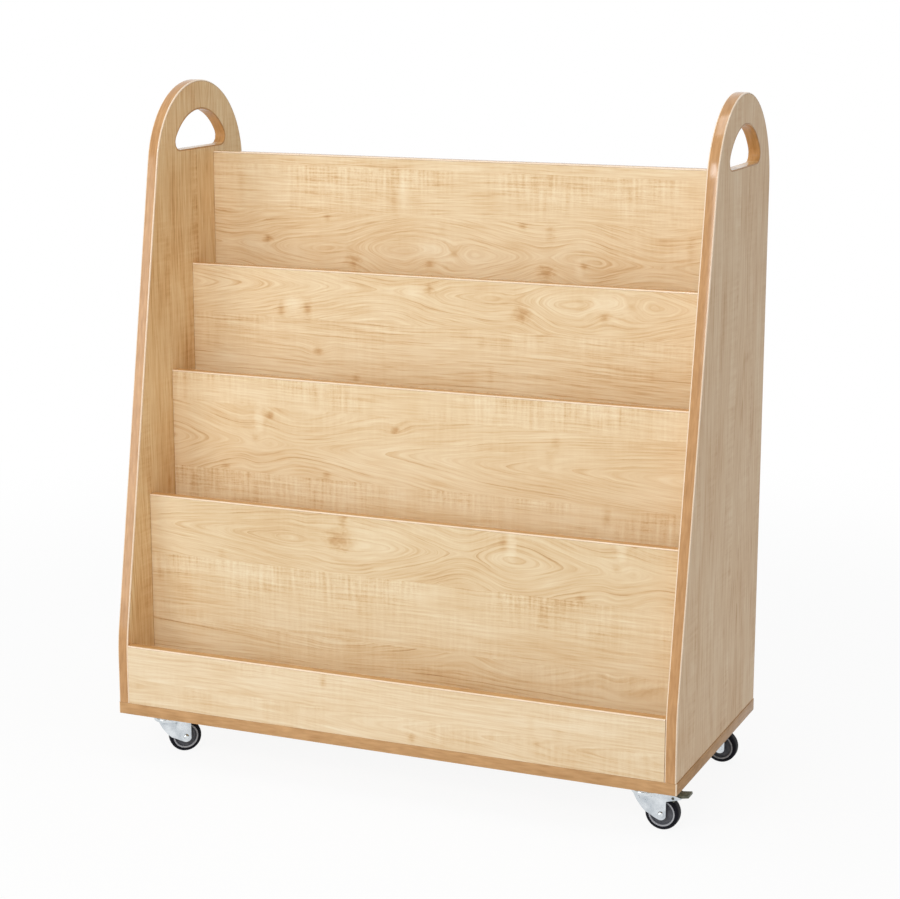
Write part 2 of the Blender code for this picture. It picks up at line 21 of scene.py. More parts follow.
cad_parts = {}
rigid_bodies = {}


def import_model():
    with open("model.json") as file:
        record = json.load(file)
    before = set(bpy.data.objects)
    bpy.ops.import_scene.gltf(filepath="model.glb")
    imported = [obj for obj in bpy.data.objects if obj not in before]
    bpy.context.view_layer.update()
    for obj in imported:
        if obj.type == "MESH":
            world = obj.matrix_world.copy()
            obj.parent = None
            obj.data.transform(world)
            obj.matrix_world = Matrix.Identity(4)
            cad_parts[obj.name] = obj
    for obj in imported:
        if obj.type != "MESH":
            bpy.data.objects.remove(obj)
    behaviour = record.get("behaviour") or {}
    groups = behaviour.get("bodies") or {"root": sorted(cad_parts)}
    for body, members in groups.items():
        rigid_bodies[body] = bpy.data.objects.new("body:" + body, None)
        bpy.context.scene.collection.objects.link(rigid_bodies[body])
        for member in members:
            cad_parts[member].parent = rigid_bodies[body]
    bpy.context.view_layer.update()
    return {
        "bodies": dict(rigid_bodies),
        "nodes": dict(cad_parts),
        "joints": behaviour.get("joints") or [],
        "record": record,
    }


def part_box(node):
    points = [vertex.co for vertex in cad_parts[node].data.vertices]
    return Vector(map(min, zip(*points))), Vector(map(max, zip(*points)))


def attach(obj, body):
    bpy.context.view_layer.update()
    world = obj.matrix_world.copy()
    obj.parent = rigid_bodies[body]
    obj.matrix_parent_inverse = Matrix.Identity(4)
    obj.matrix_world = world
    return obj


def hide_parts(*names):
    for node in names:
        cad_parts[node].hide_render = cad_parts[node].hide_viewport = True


log = logging.getLogger("book_display")

Point = tuple[float, float, float]
Number = float | int
Shade = tuple[int, int, int]
Stops = Sequence[tuple[float, Sequence[float]]]
Choice = Callable[[BMEdge], bool]
Trim = tuple[Choice, float, int]
PICTURE_WIDTH = 900
MOST_RINGS = 32.0
MAPLE_SHADES = ((247, 229, 196), (239, 215, 177), (228, 197, 153), (207, 164, 115), (168, 117, 73))


def linear(red: int, green: int, blue: int) -> tuple[float, float, float, float]:
    """Turn a screen colour into linear light.

    Args:
        red: Red from 0 to 255.
        green: Green from 0 to 255.
        blue: Blue from 0 to 255.

    Returns:
        The linear colour with an alpha of 1.
    """

    def channel(value: int) -> float:
        """One channel of the colour in linear light."""
        share = value / 255
        return share / 12.92 if share <= 0.04045 else ((share + 0.055) / 1.055) ** 2.4

    return channel(red), channel(green), channel(blue), 1.0


class Wire:
    """A shader socket that takes part in Python expressions."""

    def __init__(self, graph: "Graph", socket: NodeSocket) -> None:
        """Hold a socket and the graph that it belongs to."""
        self.graph = graph
        self.socket = socket

    def other(self, name: str) -> "Wire":
        """Another output of the same node, by its name."""
        return Wire(self.graph, self.socket.node.outputs[name])

    def _math(self, operation: str, first: Any, second: Any) -> "Wire":
        """Add a Math node for two values."""
        return self.graph.node("ShaderNodeMath", {"operation": operation}, {0: first, 1: second})

    def __add__(self, value: Any) -> "Wire":
        """Sum."""
        return self._math("ADD", self, value)

    def __radd__(self, value: Any) -> "Wire":
        """Sum with a number on the left."""
        return self._math("ADD", value, self)

    def __sub__(self, value: Any) -> "Wire":
        """Difference."""
        return self._math("SUBTRACT", self, value)

    def __rsub__(self, value: Any) -> "Wire":
        """Difference from a number on the left."""
        return self._math("SUBTRACT", value, self)

    def __mul__(self, value: Any) -> "Wire":
        """Product."""
        return self._math("MULTIPLY", self, value)

    def __rmul__(self, value: Any) -> "Wire":
        """Product with a number on the left."""
        return self._math("MULTIPLY", value, self)

    def __truediv__(self, value: Any) -> "Wire":
        """Quotient."""
        return self._math("DIVIDE", self, value)

    def __pow__(self, value: Any) -> "Wire":
        """Power."""
        return self._math("POWER", self, value)

    def fraction(self) -> "Wire":
        """The part after the decimal point."""
        return self._math("FRACT", self, 0.0)

    def floor(self) -> "Wire":
        """The whole number below."""
        return self._math("FLOOR", self, 0.0)

    def most(self, value: Any) -> "Wire":
        """The larger of two values."""
        return self._math("MAXIMUM", self, value)

    def ease(self, low: Number, high: Number) -> "Wire":
        """Rise smoothly from 0 at low to 1 at high.

        Args:
            low: Where the result is 0; it may lie above high, for a fall.
            high: Where the result is 1.

        Returns:
            The eased value.
        """
        down = low > high
        ends = {"From Min": min(low, high), "From Max": max(low, high)}
        results = {"To Min": 1.0 if down else 0.0, "To Max": 0.0 if down else 1.0}
        settings = {"interpolation_type": "SMOOTHSTEP"}
        return self.graph.node("ShaderNodeMapRange", settings, {"Value": self, **ends, **results})


class Graph:
    """The node tree of a new material or of the surround, with one method that adds any node."""

    def __init__(self, name: str, surround: bool = False) -> None:
        """Start a material with a Principled shader, or the surround with a plain background."""
        self.material = (bpy.data.worlds if surround else bpy.data.materials).new(name)
        self.material.use_nodes = True
        self.tree = self.material.node_tree
        self.shader = self.tree.nodes["Background" if surround else "Principled BSDF"]
        self.result = self.tree.nodes["World Output" if surround else "Material Output"]

    def node(
        self,
        kind: str,
        settings: dict[str, Any] | None = None,
        inputs: dict[Any, Any] | None = None,
        output: int | str = 0,
    ) -> Wire:
        """Add a node.

        Args:
            kind: The node's type.
            settings: Its properties, set first; "stops" fills a colour ramp.
            inputs: Values or wires for its sockets, by name or number.
            output: The output that the result stands for.

        Returns:
            That output.
        """
        made = self.tree.nodes.new(kind)
        for key, value in (settings or {}).items():
            if key == "stops":
                self._fill_ramp(made.color_ramp, value)
            elif key == "steps":
                made.color_ramp.interpolation = value
            else:
                setattr(made, key, value)
        for key, value in (inputs or {}).items():
            self.feed(made.inputs[key], value)
        return Wire(self, made.outputs[output])

    @staticmethod
    def _fill_ramp(ramp: ColorRamp, stops: Stops) -> None:
        """Give a colour ramp its stops, which are a place and a colour each."""
        while len(ramp.elements) > 1:
            ramp.elements.remove(ramp.elements[-1])
        ramp.elements[0].position = stops[0][0]
        ramp.elements[0].color = stops[0][1]
        for place, colour in stops[1:]:
            ramp.elements.new(place).color = colour

    def feed(self, socket: NodeSocket, value: Any) -> None:
        """Link a wire to a socket, or set the socket's own value."""
        if isinstance(value, Wire):
            self.tree.links.new(value.socket, socket)
        else:
            socket.default_value = value

    def seen(self) -> Wire:
        """1 on rays from the camera, mirrors and glass, else 0."""
        rays = self.node("ShaderNodeLightPath", output="Is Camera Ray")
        return rays.most(rays.other("Is Glossy Ray")).most(rays.other("Is Transmission Ray"))

    def shade_by(self, share: Wire, other: Wire) -> None:
        """Show another shader by a share, and the graph's own for the rest."""
        own = Wire(self, self.shader.outputs[0])
        blend = self.node("ShaderNodeMixShader", None, {0: share, 1: own, 2: other})
        self.feed(self.result.inputs["Surface"], blend)

    def set(self, **values: Any) -> None:
        """Feed the Principled shader's sockets, named with underscores for spaces."""
        for name, value in values.items():
            self.feed(self.shader.inputs[name.replace("_", " ")], value)

    def place(self) -> tuple[Wire, Wire, Wire]:
        """The X, Y and Z of Object coordinates, in metres."""
        spot = self.node("ShaderNodeTexCoord", output="Object")
        split = self.node("ShaderNodeSeparateXYZ", None, {0: spot})
        return split, split.other("Y"), split.other("Z")

    def vector(self, x: Any, y: Any, z: Any) -> Wire:
        """A vector from three values."""
        return self.node("ShaderNodeCombineXYZ", None, {0: x, 1: y, 2: z})

    def noise(self, spot: Wire, detail: float = 2.0, distortion: float = 0.0) -> Wire:
        """Smooth noise at a place, about 0.5."""
        values = {"Vector": spot, "Scale": 1.0, "Detail": detail, "Distortion": distortion}
        return self.node("ShaderNodeTexNoise", None, values)

    def wave(self, along: Wire, detail: float = 1.0) -> Wire:
        """Smooth noise along one value, about 0.5."""
        values = {"W": along, "Scale": 1.0, "Detail": detail}
        return self.node("ShaderNodeTexNoise", {"noise_dimensions": "1D"}, values)

    def chance(self, value: Wire) -> Wire:
        """A random number from 0 to 1 for each value."""
        return self.node("ShaderNodeTexWhiteNoise", {"noise_dimensions": "1D"}, {"W": value})

    def ramp(self, value: Wire, stops: Stops, steps: str = "LINEAR") -> Wire:
        """A colour that follows a value through stops."""
        return self.node("ShaderNodeValToRGB", {"stops": stops, "steps": steps}, {0: value})

    def mix(self, share: Any, first: Any, second: Any) -> Wire:
        """Mix two colours by a share of the second."""
        made = self.node("ShaderNodeMix", {"data_type": "RGBA"}, None, "Result")
        inputs = made.socket.node.inputs
        self.feed(inputs[0], share)
        self.feed(inputs[6], first)
        self.feed(inputs[7], second)
        return Wire(self, made.socket.node.outputs[2])

    def bump(self, height: Wire, depth: float, strength: float) -> None:
        """Feed the shader's normal with a height.

        Args:
            height: The height, from 0 to 1.
            depth: What a height of 1 stands for, in metres.
            strength: How strongly it shows.
        """
        values = {"Strength": strength, "Distance": depth, "Height": height}
        self.set(Normal=self.node("ShaderNodeBump", None, values))


class Grain(Enum):
    """Which way a board's grain runs."""

    LEVEL = "along the unit's width"
    UPRIGHT = "up the end panels"
    DEEP = "from front to rear"


@dataclass(frozen=True)
class Stave:
    """One printed plank of the laminate, counted across the grain.

    Attributes:
        top: Where the plank ends, in metres along the across axis.
        heart: Where its arched figure is centred.
        figure: How strongly the arched growth lines show.
        curl: How strongly the ripples across the grain show.
        tone: Its depth of colour, from 0 for pale to 1 for deep.
    """

    top: float
    heart: float
    figure: float
    curl: float
    tone: float


@dataclass(frozen=True)
class Knot:
    """A knot or a mark in the print.

    Attributes:
        along: Its place along the grain, in metres.
        across: Its place across the grain.
        long: Half its length along the grain.
        wide: Half its width across the grain.
        dark: How dark its core is.
        halo: How pale the wood round it is.
        push: How far it pushes the growth lines aside, in its own widths.
    """

    along: float
    across: float
    long: float
    wide: float
    dark: float
    halo: float = 0.0
    push: float = 0.0


def tick(along: float, across: float, wide: float = 0.008, dark: float = 0.28) -> Knot:
    """A short smudge across the grain."""
    return Knot(along, across, 0.0075, wide * 1.5, dark)


def eye(along: float, across: float, size: float = 0.006) -> Knot:
    """A small round knot with a pale core."""
    return Knot(along, across, size * 1.3, size, 0.24, 0.0, 1.5)


def burl(along: float, across: float, size: float = 0.012) -> Knot:
    """A ragged knot with pale wood round it."""
    return Knot(along, across, size * 1.6, size * 1.2, 0.40, 0.0, 1.0)


def pale(along: float, across: float, long: float, wide: float, halo: float = 0.24) -> Knot:
    """A pale patch."""
    return Knot(along, across, long, wide, 0.0, halo)


@dataclass(frozen=True)
class Print:
    """A sheet of the laminate's print, wider than one board.

    Attributes:
        start: Where the first plank starts across the grain.
        staves: The planks in order.
        trunk: Places along the grain, each with the growth rings from the face to the trunk's middle.
        knots: The knots and marks.
    """

    start: float
    staves: tuple[Stave, ...]
    trunk: tuple[tuple[float, float], ...]
    knots: tuple[Knot, ...] = ()


@dataclass(frozen=True)
class MapleFinish:
    """Maple-effect laminate: a board's piece of a print.

    Attributes:
        name: The material's name.
        grain: Which way the grain runs.
        sheet: The print that the board is cut from.
        shift: How far the board's place on the sheet lies along and across the grain.
        ring: The spacing of growth lines across the grain.
        tip: How blunt the arches' tips are, in metres.
        middle: The growth rings at which the arches run out into straight grain.
        contrast: How strongly the whole figure shows.
        fine: How strongly the fine fibres show.
        warmth: How much of red, green and blue the print keeps; on the end panels this tint also paints
            light and shade.
    """

    name: str
    grain: Grain
    sheet: Print
    shift: tuple[float, float] = (0.0, 0.0)
    ring: float = 0.0056
    tip: float = 0.006
    middle: float = 14.0
    contrast: float = 1.0
    fine: float = 0.46
    warmth: Point = (1.0, 1.0, 1.0)

    def _axes(self, graph: Graph) -> tuple[Wire, Wire, Wire]:
        """The sheet's coordinates along and across the grain, and the depth through the board."""
        x, y, z = graph.place()
        order = {Grain.LEVEL: (x, z, y), Grain.UPRIGHT: (z, y, x), Grain.DEEP: (x, y, z)}
        along, across, through = order[self.grain]
        return along + self.shift[0], across + self.shift[1], through

    def _planks(self, graph: Graph, across: Wire) -> tuple[Wire, Wire, Wire, Wire, Wire]:
        """Each plank's figure, curl, tone, heart and upper edge, by where a point lies across the grain."""
        start, staves = self.sheet.start, self.sheet.staves
        extent = staves[-1].top - start
        looks, edges = [], []
        lower = start
        for stave in staves:
            place = (lower - start) / extent
            looks.append((place, (stave.figure, stave.curl, stave.tone, (stave.heart - start) / extent)))
            edges.append((place, [(stave.top - start) / extent] * 3 + [1.0]))
            lower = stave.top
        spot = (across - start) / extent
        table = graph.ramp(spot, looks, "CONSTANT")
        parts = graph.node("ShaderNodeSeparateColor", None, {0: table})
        heart = table.other("Alpha") * extent + start
        top = graph.ramp(spot, edges, "CONSTANT") * extent + start
        return parts, parts.other("Green"), parts.other("Blue"), heart, top

    def _marks(self, graph: Graph, along: Wire, across: Wire) -> tuple[Wire, Wire, Wire]:
        """Add up the knots.

        Args:
            graph: The material's graph.
            along: Distance along the grain.
            across: Distance across the grain.

        Returns:
            How dark and how pale they make the wood, and their push on the lines in metres.
        """
        ragged = graph.noise(graph.vector(along * 95.0, across * 130.0, 0.0), 3.0, 0.6) - 0.5
        dark: Any = 0.0
        light: Any = 0.0
        push: Any = 0.0
        for knot in self.sheet.knots:
            aside = graph.vector((along - knot.along) / knot.long, (across - knot.across) / knot.wide, 0.0)
            reach = graph.node("ShaderNodeVectorMath", {"operation": "LENGTH"}, {0: aside}, "Value")
            near = reach + ragged * 1.5
            dark = near.ease(1.5, -0.2) * knot.dark + dark
            if knot.halo:
                light = near.ease(1.9, 0.3) * knot.halo + light
            if knot.push:
                push = reach.ease(4.2, 0.0) * (knot.push * knot.wide) + push
        return dark, light, push

    def material(self) -> Material:
        """Build the laminate.

        Returns:
            The material.
        """
        graph = Graph(self.name)
        along, across, through = self._axes(graph)
        figure, curl, tone, heart, top = self._planks(graph, across)
        seed = heart * 53.0 + through * 3.0
        dark, light, push = self._marks(graph, along, across)
        reach = self._reach(graph, along, across, heart, seed) + push
        lines = self._growth_lines(graph, along, across, reach, seed)
        streak = graph.noise(graph.vector(along * 10.0, reach * 290.0, across * 30.0 + seed), 3.0)
        band = graph.noise(graph.vector(along * 3.0, reach * 110.0, across * 9.0 + seed), 3.0)
        cloud = graph.noise(graph.vector(along * 6.0, across * 14.0, seed + 8.0), 3.0)
        ripple = self._ripples(graph, along, across, seed) * (0.30 + (top - across).ease(0.075, 0.0) * 0.70)
        fibre = graph.noise(graph.vector(along * 24.0, reach * 600.0, seed), 2.0)
        change = (streak - 0.5) * 0.60 + (fibre - 0.5) * self.fine
        change = change + (band - 0.5) * 0.34 + (cloud - 0.5) * 0.50
        change = change + lines * (0.08 + figure * 0.46) + ripple * (0.10 + curl * 0.78)
        depth = 0.29 + tone * 0.30 + change * self.contrast + dark - light
        graph.set(Base_Color=graph.ramp(depth, self._shades()), Roughness=0.36 + streak * 0.10)
        graph.set(IOR=1.46, Specular_IOR_Level=0.18)
        graph.bump(streak + lines * 0.3, 0.0001, 0.25)
        return graph.material

    def _shades(self) -> Stops:
        """The ramp's stops from pale to deep, in the board's own warmth."""
        keep = (*self.warmth, 1.0)
        last = len(MAPLE_SHADES) - 1
        return [
            (number / last, [part * share for part, share in zip(linear(*shade), keep)])
            for number, shade in enumerate(MAPLE_SHADES)
        ]

    def _trunk(self, graph: Graph, along: Wire) -> Wire:
        """How far the trunk's middle lies behind the face, in metres."""
        trunk = self.sheet.trunk
        first, length = trunk[0][0], trunk[-1][0] - trunk[0][0]
        stops = [((place - first) / length, [rings / MOST_RINGS] * 3 + [1.0]) for place, rings in trunk]
        return graph.ramp((along - first) / length, stops, "B_SPLINE") * (MOST_RINGS * self.ring)

    def _reach(self, graph: Graph, along: Wire, across: Wire, heart: Wire, seed: Wire) -> Wire:
        """How far a point lies from the trunk's middle, which gives the arched figure.

        Args:
            graph: The material's graph.
            along: Distance along the grain.
            across: Distance across the grain.
            heart: Where the plank's figure is centred.
            seed: What sets planks apart.

        Returns:
            The distance in metres.
        """
        drift = (graph.wave(along * 2.3 + seed, 1.0) - 0.5) * 0.016
        aside = across - heart - drift
        spread = aside * aside
        straight = self.middle * self.ring
        depth = (self._trunk(graph, along) - straight) * spread.ease(0.0090, 0.0) + straight
        broad = (graph.noise(graph.vector(along * 6.0, across * 24.0, seed), 2.0) - 0.5) * 0.008
        shake = (graph.noise(graph.vector(along * 40.0, across * 110.0, seed), 2.0) - 0.5) * 0.0022
        return (spread + self.tip**2) ** 0.5 + depth + broad + shake

    def _growth_lines(self, graph: Graph, along: Wire, across: Wire, reach: Wire, seed: Wire) -> Wire:
        """Thin darker lines where the growth rings meet the face.

        Args:
            graph: The material's graph.
            along: Distance along the grain.
            across: Distance across the grain.
            reach: Distance from the trunk's middle.
            seed: What sets planks apart.

        Returns:
            The lines' strength, from 0 to 1.
        """
        turn = reach / self.ring
        strength = 0.15 + graph.chance(turn.floor() + seed.floor()) ** 1.6 * 0.85
        fading = graph.noise(graph.vector(along * 14.0, across * 42.0, seed + 2.0), 2.0).ease(0.34, 0.60)
        return turn.fraction() ** 6.0 * strength * (0.22 + fading * 0.78)

    @staticmethod
    def _ripples(graph: Graph, along: Wire, across: Wire, seed: Wire) -> Wire:
        """Short marks across the grain, as in curly maple, about 0."""
        bars = graph.noise(graph.vector(along * 165.0, across * 13.0, seed), 2.0)
        fleck = graph.noise(graph.vector(along * 210.0, across * 330.0, seed), 2.0, 1.2)
        where = graph.noise(graph.vector(along * 7.0, across * 16.0, seed + 21.0), 2.0).ease(0.36, 0.60)
        columns = graph.noise(graph.vector(along * 26.0, across * 4.0, seed + 13.0), 1.0)
        return ((bars - 0.5) * 1.05 + (fleck - 0.5) * 0.55) * (0.15 + where * 0.85) + (columns - 0.5) * 0.30


@dataclass(frozen=True)
class BandFinish:
    """Plastic edge band printed to match timber, with streaks along its run.

    Attributes:
        name: The material's name.
        streaks: How finely it varies along X, Y and Z, in waves a metre.
        pale: Its paler colour.
        deep: Its deeper colour.
        gloss: How strongly its surface mirrors.
    """

    name: str
    streaks: Point
    pale: Shade
    deep: Shade
    gloss: float

    def material(self) -> Material:
        """Build the band's printed face.

        Returns:
            The material.
        """
        graph = Graph(self.name)
        x, y, z = graph.place()
        fine = graph.noise(graph.vector(*(a * s for a, s in zip((x, y, z), self.streaks))), 3.0)
        slow = graph.noise(graph.vector(x * 30.0, y * 30.0, z * 30.0), 2.0)
        depth = fine * 0.65 + slow * 0.35
        stops = ((0.32, linear(*self.pale)), (0.68, linear(*self.deep)))
        graph.set(Base_Color=graph.ramp(depth, stops), Roughness=0.11 + fine * 0.10)
        graph.set(Specular_IOR_Level=self.gloss)
        graph.bump(fine, 0.00008, 0.3)
        return graph.material


@dataclass(frozen=True)
class SpeckledFinish:
    """A plain finish with soft blotches and fine grain, for metal, rubber, plastic and paint.

    Attributes:
        name: The material's name.
        first: One colour of the blotches.
        second: The other colour.
        roughness: The roughness between blotches.
        spread: How far the roughness varies.
        blotch: Blotches a metre.
        grain: Fine grains a metre.
        relief: The depth of the fine grain, in metres.
        metallic: 1 for bare metal, 0 for the rest.
        gloss: How strongly the surface of the rest mirrors.
    """

    name: str
    first: Shade
    second: Shade
    roughness: float
    spread: float
    blotch: float
    grain: float
    relief: float
    metallic: float = 0.0
    gloss: float = 0.5

    def material(self) -> Material:
        """Build the finish.

        Returns:
            The material.
        """
        graph = Graph(self.name)
        x, y, z = graph.place()
        soft = graph.noise(graph.vector(x * self.blotch, y * self.blotch, z * self.blotch), 3.0)
        fine = graph.noise(graph.vector(x * self.grain, y * self.grain, z * self.grain), 2.0)
        stops = ((0.35, linear(*self.first)), (0.65, linear(*self.second)))
        graph.set(Base_Color=graph.ramp(soft * 0.75 + fine * 0.25, stops), Metallic=self.metallic)
        graph.set(Roughness=self.roughness + (soft - 0.5) * self.spread, Specular_IOR_Level=self.gloss)
        graph.bump(fine, self.relief, 0.4)
        return graph.material


class Bench:
    """Edit-mode modelling steps that the pieces share."""

    WELD = 0.000002

    @staticmethod
    def clear() -> None:
        """Leave edit mode and deselect everything."""
        if bpy.context.mode != "OBJECT":
            bpy.ops.object.mode_set(mode="OBJECT")
        bpy.ops.object.select_all(action="DESELECT")

    @classmethod
    def edit(cls, piece: Object) -> None:
        """Open one piece in edit mode, with all of it selected."""
        cls.clear()
        piece.select_set(True)
        bpy.context.view_layer.objects.active = piece
        bpy.ops.object.mode_set(mode="EDIT")
        bpy.ops.mesh.select_mode(type="VERT")
        bpy.ops.mesh.select_all(action="SELECT")

    @classmethod
    def copy_of(cls, node: Object, name: str) -> Object:
        """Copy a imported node's mesh, welded, with its flat faces made whole.

        Args:
            node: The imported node.
            name: The new piece's name.

        Returns:
            The new piece.
        """
        piece = bpy.data.objects.new(name, node.data.copy())
        piece.data.materials.clear()
        bpy.context.scene.collection.objects.link(piece)
        cls.edit(piece)
        bpy.ops.mesh.remove_doubles(threshold=cls.WELD)
        bpy.ops.mesh.dissolve_limited(angle_limit=math.radians(0.5))
        bpy.ops.mesh.normals_make_consistent(inside=False)
        cls.clear()
        return piece

    @classmethod
    def drawn(cls, name: str, points: Sequence[Point]) -> Object:
        """Draw a line of points by extruding one vertex, and stay in edit mode.

        Args:
            name: The new piece's name.
            points: The line's points in order.

        Returns:
            The new piece, all selected.
        """
        cls.clear()
        bpy.ops.mesh.primitive_plane_add(size=0.01, location=(0, 0, 0))
        piece = bpy.context.object
        piece.name = name
        cls.edit(piece)
        bpy.ops.mesh.merge(type="CENTER")
        bpy.ops.transform.translate(value=points[0])
        for last, point in zip(points, points[1:]):
            step = Vector(point) - Vector(last)
            bpy.ops.mesh.extrude_region_move(TRANSFORM_OT_translate={"value": step})
        bpy.ops.mesh.select_all(action="SELECT")
        return piece

    @classmethod
    def spun(cls, name: str, profile: Sequence[tuple[float, float]], steps: int) -> Object:
        """Turn a profile about the Y axis.

        Args:
            name: The new piece's name.
            profile: Radii and places along Y; a closed ring repeats its first point.
            steps: Steps round the turn.

        Returns:
            The new piece, in object mode.
        """
        piece = cls.drawn(name, [(radius, place, 0.0) for radius, place in profile])
        bpy.ops.mesh.spin(steps=steps, angle=2 * math.pi, center=(0, 0, 0), axis=(0, 1, 0))
        bpy.ops.mesh.select_all(action="SELECT")
        bpy.ops.mesh.remove_doubles(threshold=cls.WELD)
        bpy.ops.mesh.normals_make_consistent(inside=False)
        cls.clear()
        return piece

    @classmethod
    def bevel(cls, piece: Object, wanted: Choice, width: float, segments: int, slot: int = -1) -> None:
        """Round chosen edges and, if asked, give the new faces another material slot.

        Args:
            piece: The piece to work on.
            wanted: Says which edges to round.
            width: The round's width, in metres.
            segments: Facets in the round.
            slot: The material slot of the new faces, or -1 for that of the faces beside them.
        """
        cls.edit(piece)
        bpy.ops.mesh.select_all(action="DESELECT")
        bpy.ops.mesh.select_mode(type="EDGE")
        shape = bmesh.from_edit_mesh(piece.data)
        for edge in shape.edges:
            edge.select_set(len(edge.link_faces) == 2 and wanted(edge))
        bmesh.update_edit_mesh(piece.data)
        size = {"offset": width, "segments": segments, "material": int(slot)}
        bpy.ops.mesh.bevel(**size, affect="EDGES", clamp_overlap=True)
        cls.clear()

    @classmethod
    def shade(cls, piece: Object, angle: float = 35.0) -> None:
        """Shade a piece smooth across edges under an angle in degrees."""
        cls.clear()
        piece.select_set(True)
        bpy.context.view_layer.objects.active = piece
        bpy.ops.object.shade_smooth_by_angle(angle=math.radians(angle))
        cls.clear()

    @staticmethod
    def placed(source: Object, name: str, where: Matrix) -> Object:
        """Copy a finished piece with its own mesh, moved by a matrix.

        Args:
            source: The piece to copy.
            name: The copy's name.
            where: The move, applied to the mesh.

        Returns:
            The copy.
        """
        piece = bpy.data.objects.new(name, source.data.copy())
        piece.data.transform(where)
        bpy.context.scene.collection.objects.link(piece)
        return piece


def sharp(edge: BMEdge, degrees: float = 40.0) -> bool:
    """Whether an edge's two faces meet at more than an angle."""
    return edge.calc_face_angle(0.0) > math.radians(degrees)


def middle(edge: BMEdge) -> Vector:
    """The middle of an edge."""
    return (edge.verts[0].co + edge.verts[1].co) / 2


@dataclass
class Joined:
    """What the sub-assemblies share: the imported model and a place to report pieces."""

    frame: dict[str, Any]

    def node(self, name: str) -> Object:
        """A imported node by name."""
        return self.frame["nodes"][name]

    def dress(self, name: str, material: Material) -> None:
        """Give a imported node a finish, with its mesh left as it is."""
        slots = self.node(name).data.materials
        slots.clear()
        slots.append(material)
        log.info("dressed %s", name)

    def stand_for(self, piece: Object, body: str, slot: str, *nodes: str) -> None:
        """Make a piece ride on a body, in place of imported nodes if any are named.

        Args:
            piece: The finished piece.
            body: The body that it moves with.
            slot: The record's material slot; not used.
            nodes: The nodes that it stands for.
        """
        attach(piece, body)
        if nodes:
            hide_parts(*nodes)
        log.info("%s on %s stands for %s", piece.name, body, ", ".join(nodes) or "itself")


